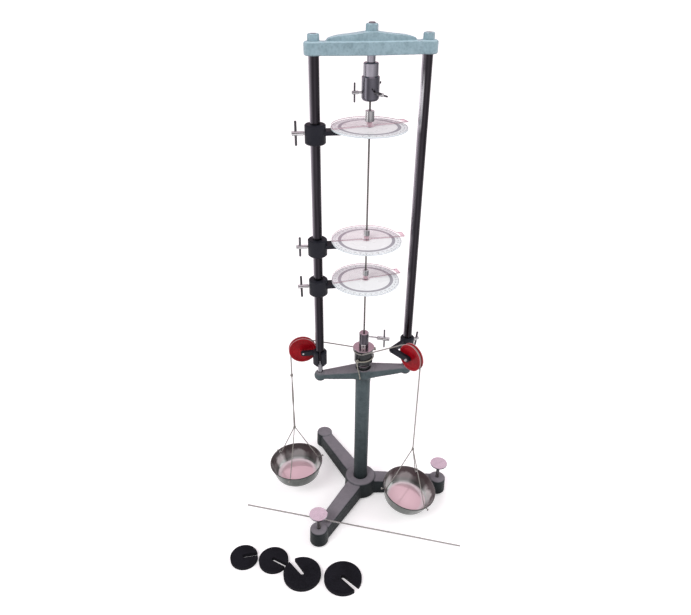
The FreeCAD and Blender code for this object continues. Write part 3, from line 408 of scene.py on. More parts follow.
BAR_LOOK = ((0.006, 0.005, 0.007), (0.40, 0.37, 0.42), 1.6, 0.95, 0.6)
FINISH = {
    # Hammer enamel: deep, bright, top highlight (painted), top highlight share, cells, foot shade
    # (painted), foot height
    "dark_paint": finish(
        "dark_hammer_enamel", HAMMER, 0.35, 0.0008,
        ((0.052, 0.072, 0.078), (0.096, 0.127, 0.136), (0.235, 0.214, 0.238), 0.86, 260.0, 0.12, 0.30),
        Specular_IOR_Level=0.10),
    "light_paint": finish(
        "teal_hammer_enamel", HAMMER, 0.45, 0.0010,
        ((0.170, 0.260, 0.295), (0.310, 0.440, 0.495), (0.500, 0.680, 0.740), 0.85, 220.0),
        Specular_IOR_Level=0.35, Coat_Weight=0.12, Coat_Roughness=0.2),
    # Drawn bars: deep, bright, streaks, bands (painted reflection), dark foot, glint z (painted highlight)
    "bar_steel": finish("ground_bar_steel", DRAWN, 0.05, 0.0002, BAR_LOOK, Metallic=1.0),
    # Painted highlight: the right upright carries a glint at 1028 mm
    "glint_bar_steel": finish(
        "ground_bar_steel_with_painted_glint", DRAWN, 0.05, 0.0002, BAR_LOOK + (1028.0,), Metallic=1.0),
    "neck_steel": finish(
        "polished_bar_neck", DRAWN, 0.04, 0.0002, ((0.10, 0.10, 0.11), (0.80, 0.80, 0.84), 1.6, 0.6),
        Metallic=1.0),
    "rod_steel": finish(
        "dark_drawn_rod", DRAWN, 0.04, 0.0002, ((0.035, 0.034, 0.034), (0.24, 0.225, 0.215), 1.2, 0.3),
        Metallic=1.0),
    "spare_steel": finish(
        "grey_drawn_rod", DRAWN, 0.04, 0.0002, ((0.36, 0.37, 0.35), (0.88, 0.89, 0.86), 1.2, 0.35),
        Metallic=1.0),
    # Turned pieces: deep, bright, top (painted reflection), top share, rings per mm, stain, bands (painted
    # reflection), smooth, coarse
    "dark_steel": finish(
        "dark_turned_steel", TURNING, 0.06, 0.0002,
        ((0.022, 0.022, 0.028), (0.25, 0.245, 0.285), (0.42, 0.40, 0.46), 0.85, 2.2, 0.4, 0.9),
        Metallic=1.0),
    "sleeve_steel": finish(
        "bright_turned_sleeve", SLEEVE, 0.06, 0.0002,
        ((0.026, 0.028, 0.034), (0.42, 0.41, 0.46), (0.50, 0.48, 0.54), 0.85, 2.0, 0.3, 0.78),
        Metallic=1.0),
    "collar_steel": finish(
        "polished_collar", TURNING, 0.05, 0.0002,
        ((0.020, 0.020, 0.030), (1.0, 1.0, 1.0), (0.90, 0.88, 0.92), 0.85, 2.0, 0.3, 0.92), Metallic=0.8),
    "drum_steel": finish(
        "grey_turned_drum", TURNING, 0.06, 0.0002,
        ((0.014, 0.015, 0.016), (0.060, 0.063, 0.064), (0.40, 0.36, 0.40), 0.7, 1.6, 0.6, 0.35),
        Metallic=1.0),
    "ring_steel": finish(
        "polished_thrust_ring", TURNING, 0.04, 0.0002,
        ((0.40, 0.40, 0.41), (0.84, 0.84, 0.84), (0.86, 0.84, 0.84), 0.8, 2.0, 0.2, 0.4), Metallic=0.5),
    # Painted pink reflection on the flange's top
    "flange_steel": finish(
        "flange_with_painted_pink_top", TURNING, 0.05, 0.0002,
        ((0.050, 0.045, 0.050), (0.20, 0.17, 0.19), (0.80, 0.62, 0.68), 0.95, 2.0, 0.4, 0.3), Metallic=1.0),
    # Painted pink reflection on the chuck's top
    "chuck_steel": finish(
        "dark_chuck_with_painted_pink_top", TURNING, 0.06, 0.0002,
        ((0.018, 0.016, 0.020), (0.15, 0.14, 0.16), (0.72, 0.56, 0.62), 0.95, 2.0, 0.4, 0.7), Metallic=1.0),
    "bright_steel": finish(
        "bright_turned_steel", TURNING, 0.05, 0.0002,
        ((0.12, 0.12, 0.125), (0.62, 0.62, 0.62), (0.80, 0.78, 0.78), 0.6, 2.6, 0.3, 0.4), Metallic=1.0),
    "screw_steel": finish(
        "turned_screw_head", TURNING, 0.05, 0.0002,
        ((0.11, 0.11, 0.115), (0.78, 0.79, 0.80), (0.80, 0.80, 0.82), 0.9, 2.6, 0.5, 0.3), Metallic=1.0),
    # Painted pink reflection on the levelling discs' tops
    "disc_nickel": finish(
        "satin_nickel_with_painted_pink_top", TURNING, 0.04, 0.0002,
        ((0.040, 0.040, 0.050), (0.20, 0.19, 0.22), (0.95, 0.80, 0.90), 0.97, 2.2, 0.35, 0.4),
        Metallic=1.0),
    # Painted reflections: window bands on the pans' walls and a pink top on their floors
    "stainless": finish(
        "spun_stainless", SPINNING, 0.03, 0.0003,
        ((0.030, 0.026, 0.024), (0.96, 1.0, 0.98), (0.80, 0.68, 0.71), 0.95, 0.5, 0.3, 0.98, 0.06, 0.14),
        Metallic=0.35),
    # Painted shade: the pans' outsides in a darker copy of their steel
    "pan_outside": finish(
        "shaded_pan_outside", TURNING, 0.04, 0.0003,
        ((0.040, 0.046, 0.042), (0.15, 0.165, 0.155), (0.7, 0.7, 0.7), 0.0, 0.6, 0.5, 0.3), Metallic=1.0),
    # Grain: deep, bright, grain scale, rough low, rough high, cloud scale
    "black_paint": finish(
        "satin_black_enamel", GRAIN, 0.12, 0.0003,
        ((0.006, 0.007, 0.012), (0.020, 0.021, 0.028), 700.0, 0.38, 0.55), Specular_IOR_Level=0.16),
    "tommy_steel": finish(
        "dark_tommy_bar", GRAIN, 0.05, 0.0002,
        ((0.035, 0.035, 0.040), (0.13, 0.125, 0.135), 600.0, 0.26, 0.40), Metallic=1.0),
    "white_plastic": finish(
        "white_dial_sheet", GRAIN, 0.02, 0.0002,
        ((0.93, 0.97, 0.97), (0.96, 0.99, 0.99), 400.0, 0.22, 0.34, 18.0), Coat_Weight=0.1),
    "clear_acrylic": finish(
        "clear_pink_pointer_sheet", GRAIN, 0.02, 0.0002,
        ((0.90, 0.42, 0.58), (0.96, 0.52, 0.66), 300.0, 0.04, 0.12, 25.0)),
    "acrylic_edge": finish(
        "pink_sheet_edge", GRAIN, 0.02, 0.0002,
        ((0.50, 0.33, 0.39), (0.70, 0.50, 0.56), 300.0, 0.15, 0.3, 60.0)),
    "red_plastic": finish(
        "deep_red_wheel", GRAIN, 0.04, 0.0002,
        ((0.17, 0.0015, 0.005), (0.38, 0.005, 0.012), 500.0, 0.22, 0.36, 40.0), Specular_IOR_Level=0.12),
    "cast_black": finish(
        "black_sand_casting", GRAIN, 0.5, 0.0006,
        ((0.005, 0.005, 0.007), (0.017, 0.017, 0.022), 420.0, 0.7, 0.9, 30.0), Specular_IOR_Level=0.1),
    "dial_ink": finish(
        "dial_ink", GRAIN, 0.02, 0.0001, ((0.08, 0.085, 0.11), (0.13, 0.14, 0.17), 900.0, 0.4, 0.55)),
    "dial_ring": finish(
        "dial_ring_ink", GRAIN, 0.02, 0.0001, ((0.34, 0.34, 0.38), (0.42, 0.42, 0.46), 900.0, 0.4, 0.55)),
    # Cord: deep, bright, strands, lay
    "cord": finish(
        "plaited_grey_cord", PLAIT, 0.7, 0.0004, ((0.14, 0.135, 0.125), (0.48, 0.46, 0.43), 5.0, 0.9),
        Roughness=0.85, Sheen_Weight=0.2),
    "soiled_cord": finish(
        "plaited_brown_cord", PLAIT, 0.7, 0.0004, ((0.16, 0.155, 0.12), (0.56, 0.55, 0.48), 5.0, 0.9),
        Roughness=0.88, Sheen_Weight=0.2),
}


def tint(name, share, colour):
    """Another colour laid over a finish's own, by a share."""
    tree = FINISH[name].node_tree
    base = tree.nodes["Principled BSDF"].inputs["Base Color"]
    tree.links.new(colour_mix(tree, share, base.links[0].from_socket, colour), base)


def ring_tint(name, from_mm, to_mm, colour):
    """Colour that comes in from one radius to another."""
    tree = FINISH[name].node_tree
    tint(name, spread(tree, own_radius(tree, own_place(tree)), from_mm, to_mm), colour)


def rim_shade(name, from_mm, to_mm, most, colour):
    """Painted shade on a pan's wall towards its rim, in a ragged line."""
    tree = FINISH[name].node_tree
    own = own_place(tree)
    ragged = spread(tree, noise(tree, own, 0.045), 0.3, 0.7, -7.0, 7.0)
    tint(name, spread(tree, plus(tree, split(tree, own)[2], ragged), from_mm, to_mm, 0.0, most), colour)


def edge_tint(name, colour):
    """Painted shade on what stands upright, such as a sheet's edge."""
    tree = FINISH[name].node_tree
    tint(name, spread(tree, maths(tree, "ABSOLUTE", facing_up(tree)), 0.7, 0.3), colour)


def see_through(name, face_on, edge_on, lug_mm=0.0, lug_alpha=0.0):
    """Clear sheet: alpha rises where it is seen edge on, and past a radius on its lug."""
    tree = FINISH[name].node_tree
    facing = add(tree, "ShaderNodeLayerWeight", {"Blend": 0.35}).outputs["Facing"]
    alpha = spread(tree, facing, 0.0, 1.0, face_on, edge_on)
    if lug_mm:
        reach = own_radius(tree, own_place(tree))
        alpha = maths(tree, "MAXIMUM", alpha, spread(tree, reach, lug_mm, lug_mm + 2.0, 0.0, lug_alpha))
    tree.links.new(alpha, tree.nodes["Principled BSDF"].inputs["Alpha"])


ring_tint("red_plastic", 31.6, 32.8, rgb(0.60, 0.30, 0.32))
# Painted pink reflection on the pans' floors
ring_tint("stainless", 47.0, 41.0, rgb(0.80, 0.57, 0.62))
# Painted shade on the pans' walls towards their rims
rim_shade("stainless", -24.0, -15.0, 0.88, rgb(0.075, 0.055, 0.058))
ring_tint("white_plastic", 61.0, 63.0, rgb(0.90, 0.96, 0.97))
# Painted shade on the dials' upright edges
edge_tint("white_plastic", rgb(0.62, 0.70, 0.74))
see_through("clear_acrylic", 0.03, 0.07, 75.5, 0.42)
see_through("acrylic_edge", 0.72, 0.85)


# Mesh helpers


def link(name, data):
    made = bpy.data.objects.new(name, data)
    SCENE.collection.objects.link(made)
    return made


def shade(mesh, sharp_degrees):
    mesh.shade_smooth()
    mesh.set_sharp_from_angle(angle=math.radians(sharp_degrees))


def evaluated(piece):
    """Plain mesh of a piece, a curve or a text as it stands."""
    graph = bpy.context.evaluated_depsgraph_get()
    return bpy.data.meshes.new_from_object(piece.evaluated_get(graph))


def ride_with(piece, node):
    """Let a small piece ride with a CAD node's body."""
    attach(piece, BODY_OF[node])


def piece_from(name, vertices, faces, look):
    """New mesh piece whose faces all point outward."""
    mesh = bpy.data.meshes.new(name)
    mesh.from_pydata([tuple(v) for v in vertices], [], faces)
    mesh.materials.append(FINISH[look])
    work = bmesh.new()
    work.from_mesh(mesh)
    bmesh.ops.remove_doubles(work, verts=work.verts, dist=1e-6)
    bmesh.ops.recalc_face_normals(work, faces=work.faces)
    work.to_mesh(mesh)
    work.free()
    shade(mesh, 38)
    return link(name, mesh)


def baked(piece):
    """Turn a piece's modifiers into plain mesh."""
    mesh = evaluated(piece)
    mesh.name = piece.name
    piece.modifiers.clear()
    piece.data = mesh
    return piece


def own_axis(piece, centre, axis=(0, 0, 1)):
    """Write each point's place about the piece's own axis, in millimetres, for turning marks."""
    turn = Vector(axis).rotation_difference(UP).to_matrix()
    attribute = piece.data.attributes.new("own_axis", "FLOAT_VECTOR", "POINT")
    for vertex, row in zip(piece.data.vertices, attribute.data):
        row.vector = turn @ (vertex.co / MM - Vector(centre))
    return piece


def merged_copy(node, name, whole=True):
    """Copy of a CAD node's mesh with its doubles merged, and its flat faces made whole if asked."""
    mesh = bpy.data.meshes.new(name)
    work = bmesh.new()
    work.from_mesh(frame["nodes"][node].data)
    bmesh.ops.remove_doubles(work, verts=work.verts, dist=3e-6)
    if whole:
        bmesh.ops.dissolve_limit(work, angle_limit=math.radians(0.5), verts=work.verts, edges=work.edges)
    work.to_mesh(mesh)
    work.free()
    for attribute in ("custom_normal", "sharp_face"):
        if attribute in mesh.attributes:
            mesh.attributes.remove(mesh.attributes[attribute])
    shade(mesh, 30)
    return link(name, mesh)


def settle(piece, node, look):
    """Give a piece its finish, and let it ride in place of its CAD node."""
    piece.data.materials.clear()
    piece.data.materials.append(FINISH[look])
    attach(piece, BODY_OF[node])
    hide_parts(node)
    return piece


def dressed(node, look, edge, centre=None, axis=(0, 0, 1), segments=2, whole=True):
    """A CAD node with its edges broken by the given millimetres, in its finish."""
    piece = merged_copy(node, node + "_finished", whole)
    if edge:
        bevel = piece.modifiers.new("broken_edges", "BEVEL")
        bevel.width = edge * MM
        bevel.segments = segments
        bevel.limit_method = "ANGLE"
        bevel.angle_limit = math.radians(32)
        bevel.harden_normals = True
        bevel.miter_outer = "MITER_ARC"
    baked(piece)
    if centre is not None:
        own_axis(piece, centre, axis)
    return settle(piece, node, look)


def second_finish(piece, look, test):
    """Second finish on the faces that pass a test."""
    piece.data.materials.append(FINISH[look])
    for face in piece.data.polygons:
        if test(face):
            face.material_index = 1


def off_axis(point, centre, line):
    """Way from an axis to a point, in millimetres."""
    away = point / MM - Vector(centre)
    return away - line * away.dot(line)


def beyond(piece, centre, axis, radius):
    """Test for faces that reach further than a radius, in millimetres, from an axis."""
    line = Vector(axis).normalized()
    points = piece.data.vertices
    return lambda face: max(off_axis(points[i].co, centre, line).length for i in face.vertices) > radius


def turned_away(centre, axis):
    """Test for faces that look away from an axis, or back along it."""
    line = Vector(axis).normalized()

    def test(face):
        outward = off_axis(face.center, centre, line).normalized()
        return face.normal.dot(outward) > 0.1 or face.normal.dot(line) < -0.5
    return test


def cast(node, look, voxel):
    """A CAD casting with the soft corners and fillets that its pattern gave it."""
    piece = merged_copy(node, node + "_casting")
    remesh = piece.modifiers.new("skin", "REMESH")
    remesh.mode = "VOXEL"
    remesh.voxel_size = voxel * MM
    soften = piece.modifiers.new("soften", "SMOOTH")
    soften.factor = 0.5
    soften.iterations = 5
    baked(piece)
    piece.data.shade_smooth()
    return settle(piece, node, look)


# Cords


def route_line(points):
    """Points of a cord's smooth line, read from its NURBS spline."""
    curve = bpy.data.curves.new("route", "CURVE")
    curve.dimensions = "3D"
    curve.resolution_u = 10
    spline = curve.splines.new("NURBS")
    spline.points.add(len(points) - 1)
    for control, place in zip(spline.points, points):
        control.co = (*place, 1.0)
    spline.order_u = 3
    spline.use_endpoint_u = True
    holder = link("route", curve)
    mesh = evaluated(holder)
    line = [mesh.vertices[0].co.copy()]
    for vertex in mesh.vertices[1:]:
        if (vertex.co - line[-1]).length > 1e-5:
            line.append(vertex.co.copy())
    bpy.data.objects.remove(holder)
    bpy.data.meshes.remove(mesh)
    return line


def carried_frames(line):
    """Direction and side of a tube at each point of a line, with no twist."""
    frames = []
    side = None
    for i, here in enumerate(line):
        ahead = (line[min(i + 1, len(line) - 1)] - line[max(i - 1, 0)]).normalized()
        if side is None:
            side = ahead.orthogonal().normalized()
        side = (side - ahead * side.dot(ahead)).normalized()
        frames.append((here, side.copy(), ahead.cross(side)))
    return frames


def tube(name, line, radius, look, sides=12, closed=False):
    """Tube along a line, with a map that runs round it and along it in diameters."""
    vertices = []
    for here, side, other in carried_frames(line):
        for j in range(sides):
            angle = 2 * math.pi * j / sides
            vertices.append(here + (side * math.cos(angle) + other * math.sin(angle)) * radius)
    faces = []
    corners = []
    travelled = 0.0
    for i in range(len(line) if closed else len(line) - 1):
        k = (i + 1) % len(line)
        low = travelled
        travelled += (line[k] - line[i]).length / (2 * radius)
        for j in range(sides):
            after = (j + 1) % sides
            faces.append((i * sides + j, i * sides + after, k * sides + after, k * sides + j))
            corners += [(j / sides, low), ((j + 1) / sides, low)]
            corners += [((j + 1) / sides, travelled), (j / sides, travelled)]
    if not closed:
        last = (len(line) - 1) * sides
        faces += [tuple(range(sides))[::-1], tuple(range(last, last + sides))]
        corners += [(0.0, 0.0)] * sides + [(0.0, travelled)] * sides
    mesh = bpy.data.meshes.new(name)
    mesh.from_pydata([tuple(v) for v in vertices], [], faces)
    layer = mesh.uv_layers.new(name="plait")
    for loop, corner in zip(layer.data, corners):
        loop.uv = corner
    shade(mesh, 50)
    mesh.materials.append(FINISH[look])
    return link(name, mesh)


def knot(name, body, centre, reach, strand, look="cord", lean=(0.0, 0.0, 1.0)):
    """Overhand knot: a strand laid in a threefold loop. Its reach and strand are in millimetres."""
    turn = UP.rotation_difference(Vector(lean)).to_matrix()
    line = []
    count = 36
    for i in range(count):
        t = 2 * math.pi * i / count
        x = (math.sin(t) + 2 * math.sin(2 * t)) / 3
        y = (math.cos(t) - 2 * math.cos(2 * t)) / 3
        z = -math.sin(3 * t) * 0.62
        line.append(Vector(centre) + turn @ Vector((x, y, z)) * (reach * MM))
    piece = tube(name, line, strand * MM, look, sides=9, closed=True)
    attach(piece, body)
    return piece


def riding_cord(name, body, line, radius, look, sides=12):
    """Cord that rides on one body. Its radius is in millimetres."""
    piece = tube(name, line, radius * MM, look, sides)
    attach(piece, body)
    return piece


def make_long_cords():
    """The two cords from the drum over the pulleys, and the knots where they meet the pans."""
    line = route_line(LEFT_CORD_ROUTE)
    bow = knot("left_bow_knot", "left_pan", mm(-172.8, 23.8, 394.1), 3.0, STRING_R, lean=(0.3, 1, 0.2))
    cord = tube("left_cord_plait", line, CORD_R * MM, "cord")
    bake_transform(cord)
    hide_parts("left_cord")

    line = route_line(RIGHT_CORD_ROUTE)
    lower = knot("right_pan_knot", "right_pan", mm(113.0, -99.0, 226.7), 3.3, STRING_R, lean=(1, -0.4, 0.2))
    cord = tube("right_cord_plait", line, CORD_R * MM, "cord")
    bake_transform(cord)
    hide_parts("right_cord")


def winding_route(start_azimuth, start_z, end_azimuth, end_z):
    """Route points of a cord laid round the drum, one each 24 degrees or less."""
    count = math.ceil(abs(end_azimuth - start_azimuth) / 24.0)
    points = []
    for i in range(count + 1):
        share = i / count
        place = heading(start_azimuth + (end_azimuth - start_azimuth) * share, WINDING_CONTROL_R)
        points.append((place.x * MM, place.y * MM, (start_z + (end_z - start_z) * share) * MM))
    return points


def make_wound_ends():
    """The ends wound on the drum, their knots and the loose tail."""
    front_knot = knot("drum_front_knot", "drum", heading(-134, 26.6) * MM + mm(0, 0, 450), 3.4,
                      KNOT_STRAND_R, "soiled_cord", (-0.7, -0.72, 0.1))
    side_knot = knot("drum_side_knot", "drum", heading(-1.0, 26.4) * MM + mm(0, 0, 469.5), 3.3,
                     KNOT_STRAND_R, "soiled_cord", (1, 0, 0.1))
    rear = riding_cord("rear_winding", "drum", route_line(winding_route(*REAR_WINDING)), CORD_R,
                       "soiled_cord")
    riding_cord("front_winding", "drum", route_line(winding_route(*FRONT_WINDING)), CORD_R, "cord")
    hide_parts("drum_cord")
    end_knot = knot("tail_knot", "drum", mm(-12.2, -26.2, 404.0), 1.5, 0.95, "soiled_cord")
    riding_cord("drum_tail", "drum", route_line(TAIL_ROUTE), STRING_R, "soiled_cord")


def make_doubled_cord():
    """The left pan's cord runs doubled between its two knots, one strand beside the other."""
    spine = route_line(DOUBLED_ROUTE)
    lower = knot("left_pan_knot", "left_pan", mm(-172.8, 23.8, 227.7), 3.3, STRING_R, lean=(1, -0.4, 0.2))
    for name, phase, knots in (("doubled_strand_a", 0.0, []), ("doubled_strand_b", 180.0, [lower])):
        line = []
        for i, here in enumerate(spine):
            turn = phase + 70.0 + 300.0 * i / (len(spine) - 1)
            line.append(here + heading(turn, STRING_R) * MM)
        riding_cord(name, "left_pan", line, STRING_R, "cord", sides=10)


def pan_spot(side):
    """Middle of a pan's rim, in millimetres."""
    end = (LEFT_CORD_ROUTE if side == "left" else RIGHT_CORD_ROUTE)[-1]
    return Vector((end[0] / MM, end[1] / MM, HANGING[side][0]))


def pan_turn(side):
    tilt, low_side = HANGING[side][3:]
    return Matrix.Rotation(math.radians(tilt), 3, heading(low_side + 90))


def at_hole(side, reach, azimuth):
    """Point at a pan's string hole, carried to the pan's tilted place, in metres."""
    local = heading(azimuth, reach) + Vector((0, 0, -PAN_HOLE_DROP))
    return (pan_turn(side) @ local + pan_spot(side)) * MM


def make_pan_strings(side):
    """Three strings from a pan's knot, each knotted outside its hole."""
    spot = pan_spot(side)
    body = side + "_pan"
    top = Vector((spot.x, spot.y, HANGING[side][1] - 4.3))
    for i, azimuth in enumerate(HANGING[side][2], start=1):
        inner = at_hole(side, 60.5, azimuth)
        outer = at_hole(side, 74.0, azimuth)
        start = (top + heading(azimuth, 0.8)) * MM
        line = route_line([start, inner + (top * MM - inner) * 0.06, inner, outer])
        stop = knot("%s_stop_knot_%d" % (side, i), body, at_hole(side, 74.2, azimuth), 1.8, 1.05,
                    lean=tuple(heading(azimuth)))
        riding_cord("%s_string_%d" % (side, i), body, line, STRING_R, "cord",
                                   sides=10)
    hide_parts(side + "_hanger")


# Camera

CAMERA_PLACE = (-0.2238, -1.1974, 1.2805)
CAMERA_FORWARD = (0.1238, 0.8235, -0.5538)
CAMERA_LEVEL = (0.9889, -0.1487, 0.0)
CAMERA_ROLL = math.radians(0.38)


def make_camera():
    """Camera at the photograph's place, in metres."""
    forward = Vector(CAMERA_FORWARD).normalized()
    level = Vector(CAMERA_LEVEL).normalized()
    rise = level.cross(forward).normalized()
    right = level * math.cos(CAMERA_ROLL) + rise * math.sin(CAMERA_ROLL)
    up = right.cross(forward).normalized()
    data = bpy.data.cameras.new("camera")
    data.sensor_width = 36.0
    data.lens = 31.93
    data.shift_y = 0.060
    data.clip_start = 0.01
    data.clip_end = 100.0
    camera = link("camera", data)
    turn = Matrix((right, up, -forward)).transposed()
    camera.matrix_world = Matrix.Translation(Vector(CAMERA_PLACE)) @ turn.to_4x4()
    SCENE.camera = camera


# Stand


def make_stand():
    """The castings, the bars, the chucks, the drum and the spare rod."""
    cast("tripod_base", "dark_paint", 1.7)
    cast("lower_crossarm", "dark_paint", 1.2)
    cast("upper_crosshead", "light_paint", 1.2)
    dressed("column", "dark_paint", 0.4)
    dressed("column_bolt", "bright_steel", 0.4, ON_AXIS)
    dressed("rear_foot", "bright_steel", 0.3, heading(LEG_AZIMUTHS["rear"], LEG_REACH))
    for side, x, look in (("left", -UPRIGHT_X, "bar_steel"), ("right", UPRIGHT_X, "glint_bar_steel")):
        upright = dressed(side + "_upright", look, 0.3, (x, 0, 0))
        second_finish(upright, "neck_steel", lambda face: face.center.z < NECK_TOP * MM)
    dressed("upright_nuts", "light_paint", 0.5)
    dressed("chuck_lock_nut", "light_paint", 0.5)
    dressed("upper_chuck_shank", "sleeve_steel", 0.35, ON_AXIS)
    dressed("upper_chuck_sleeve", "sleeve_steel", 0.35, ON_AXIS)
    dressed("upper_chuck_body", "dark_steel", 0.35, ON_AXIS)
    dressed("specimen_rod", "rod_steel", 0.1, ON_AXIS)
    dressed("drum_pivot", "bright_steel", 0.2, ON_AXIS)
    ring = dressed("drum_thrust_ring", "ring_steel", 0.3, ON_AXIS)
    second_finish(ring, "drum_steel", beyond(ring, ON_AXIS, (0, 0, 1), 14.5))
    dressed("torsion_drum", "drum_steel", 0.3, ON_AXIS)
    dressed("drum_flange", "flange_steel", 0.3, ON_AXIS)
    chuck = dressed("lower_chuck", "chuck_steel", 0.3, ON_AXIS)
    second_finish(chuck, "ring_steel", lambda face: face.normal.dot(heading(CHUCK_FLAT)) > 0.9995
                  and 0.478 < face.center.z < 0.4905)
    end = Vector((219.0, -231.0, 2.0))
    rest = Vector((-88.9, -149.7, 49.2))
    dressed("spare_rod", "spare_steel", 0.1, end, tuple((rest - end).normalized()))


def make_screws():
    """Tommy-bar screws, each turned about its own axis, with a darker bar, and the threads."""
    # Node, centre, axis and head's radius
    screws = [("chuck_screw_%d" % i, (0, 0, 1046.6), heading(azimuth), 3.5)
              for i, azimuth in enumerate((180.0, -60.0, 60.0), start=1)]
    screws += [("lower_chuck_screw", (0, 0, 508.7), heading(-23.0), 4.8),
               ("left_bracket_screw", (-UPRIGHT_X, 0, 450.0), Vector((0, 1, 0)), 4.5),
               ("right_bracket_screw", (UPRIGHT_X, 0, 484.0), heading(22.0), 4.3)]
    screws += [("dial_screw_%d" % i, (-UPRIGHT_X, 0, top - 8.0), Vector((-1, 0, 0)), 4.5)
               for i, top in enumerate(DIAL_TOPS, start=1)]
    for node, centre, axis, head in screws:
        piece = dressed(node, "screw_steel", 0.15, centre, tuple(axis))
        second_finish(piece, "tommy_steel", beyond(piece, centre, axis, head + 0.5))
    for name in ("front", "right"):
        spot = heading(LEG_AZIMUTHS[name], LEG_REACH)
        screw = name + "_levelling_screw"
        dressed(screw, "disc_nickel", 0.35, spot, whole=False)
        ride_with(screw_thread(name + "_levelling_thread", spot, 4.0, 52.0, 93.5, 1.5), screw)
    ride_with(screw_thread("chuck_shank_thread", ON_AXIS, 6.0, 1161.2, 1163.0, 1.2), "upper_chuck_shank")
    make_grub_screw()


def screw_thread(name, spot, core, low, high, pitch):
    """Thread's ridge wound up a stem, as one closed ribbon of triangular section."""
    steps = 24
    depth = 0.45
    count = int((high - low) / pitch * steps)
    vertices = []
    for i in range(count + 1):
        z = low + (high - low) * i / count
        taper = min(1.0, i / 8, (count - i) / 8)
        section = ((core - 0.3, -0.42 * pitch), (core + depth * taper, 0.0), (core - 0.3, 0.42 * pitch))
        for reach, rise in section:
            foot = Vector((spot[0], spot[1], z + rise * max(taper, 0.05)))
            vertices.append((heading(360.0 * i / steps, reach) + foot) * MM)
    faces = [(0, 1, 2), (3 * count + 2, 3 * count + 1, 3 * count)]
    for i in range(count):
        for j in range(3):
            k = (j + 1) % 3
            faces.append((3 * i + j, 3 * i + k, 3 * i + 3 + k, 3 * i + 3 + j))
    return own_axis(piece_from(name, vertices, faces, "rod_steel"), (spot[0], spot[1], 0))


def make_grub_screw():
    """Socket grub screw in the lower chuck's flat."""
    out = heading(CHUCK_FLAT)
    across = heading(CHUCK_FLAT + 90.0)
    centre = out * 9.2 + UP * 484.0
    steps = 24
    # Radius, reach out of the flat, and whether the outline there is the socket's hexagon
    outline = ((2.0, -2.5, False), (2.0, 0.0, False), (1.8, 0.25, False),
               (1.05, 0.25, True), (1.05, -1.2, True))
    vertices = []
    rows = []
    for radius, reach, hexagon in outline:
        row = []
        for i in range(steps):
            angle = 2 * math.pi * i / steps
            corner = radius
            if hexagon:
                corner = radius / math.cos((angle % (math.pi / 3)) - math.pi / 6)
            row.append(len(vertices))
            vertices.append((centre + out * reach + across * corner * math.cos(angle)
                             + UP * corner * math.sin(angle)) * MM)
        rows.append(row)
    faces = [tuple(rows[0]), tuple(rows[-1])]
    for a, b in zip(rows, rows[1:]):
        faces += [(a[i - 1], a[i], b[i], b[i - 1]) for i in range(steps)]
    ride_with(piece_from("chuck_grub_screw", vertices, faces, "tommy_steel"), "lower_chuck")


def make_pulleys():
    for side in ("left", "right"):
        dressed(side + "_pulley_bracket", "black_paint", 0.9, segments=3)
    for side, centre in (("left", LEFT_PULLEY), ("right", RIGHT_PULLEY)):
        axis = tuple(heading(PULLEY_FACES[side]))
        dressed(side + "_pulley", "red_plastic", 0.35, centre, axis)
        dressed(side + "_axle", "bright_steel", 0.25, centre, axis)


def make_pans():
    for side in ("left", "right"):
        axis = pan_turn(side) @ UP
        pan = dressed(side + "_pan", "stainless", 0.0, pan_spot(side), tuple(axis))
        second_finish(pan, "pan_outside", turned_away(pan_spot(side), axis))


def make_weights():
    for node in ("small_weight_a", "small_weight_b", "large_weight_a", "large_weight_b"):
        dressed(node, "cast_black", 0.9, segments=3)


# Dials and pointers


def tick_tree():
    """Geometry Nodes tree that lays equal ticks round a circle."""
    tree = bpy.data.node_groups.new("dial_ticks", "GeometryNodeTree")
    for name, kind, default in (("Count", "Int", 72), ("Radius", "Float", 0.07), ("Length", "Float", 0.003),
                                ("Width", "Float", 0.0003), ("Height", "Float", 1.0)):
        made = tree.interface.new_socket(name, in_out="INPUT", socket_type="NodeSocket" + kind)
        made.default_value = default
    tree.interface.new_socket("Ink", in_out="INPUT", socket_type="NodeSocketMaterial")
    tree.interface.new_socket("Geometry", in_out="OUTPUT", socket_type="NodeSocketGeometry")
    given = tree.nodes.new("NodeGroupInput").outputs
    leave = tree.nodes.new("NodeGroupOutput")
    circle = add(tree, "GeometryNodeMeshCircle", {"Vertices": given["Count"], "Radius": given["Radius"]})
    tick = add(tree, "GeometryNodeMeshGrid", {
        "Size X": given["Length"], "Size Y": given["Width"], "Vertices X": 2, "Vertices Y": 2})
    place = add(tree, "GeometryNodeInputPosition").outputs[0]
    turn = add(tree, "FunctionNodeAlignRotationToVector", {"Vector": place}, axis="X", pivot_axis="Z")
    laid = add(tree, "GeometryNodeInstanceOnPoints", {
        "Points": circle.outputs[0], "Instance": tick.outputs[0], "Rotation": turn.outputs[0]})
    real = add(tree, "GeometryNodeRealizeInstances", {"Geometry": laid.outputs[0]})
    lift = add(tree, "ShaderNodeCombineXYZ", {2: given["Height"]}).outputs[0]
    raised = add(tree, "GeometryNodeSetPosition", {"Geometry": real.outputs[0], "Offset": lift})
    inked = add(tree, "GeometryNodeSetMaterial", {"Geometry": raised.outputs[0], "Material": given["Ink"]})
    tree.links.new(inked.outputs[0], leave.inputs[0])
    return tree


TICKS = tick_tree()


def ticks(count, radius, length, width, z):
    """Mesh piece of equal ticks, made by the dial_ticks tree."""
    piece = link("marks", bpy.data.meshes.new("marks"))
    modifier = piece.modifiers.new("ticks", "NODES")
    modifier.node_group = TICKS
    values = {"Count": count, "Radius": radius * MM, "Length": length * MM, "Width": width * MM,
              "Height": z * MM, "Ink": FINISH["dial_ink"]}
    for item in TICKS.interface.items_tree:
        if item.in_out == "INPUT":
            modifier[item.identifier] = values[item.name]
    return baked(piece)


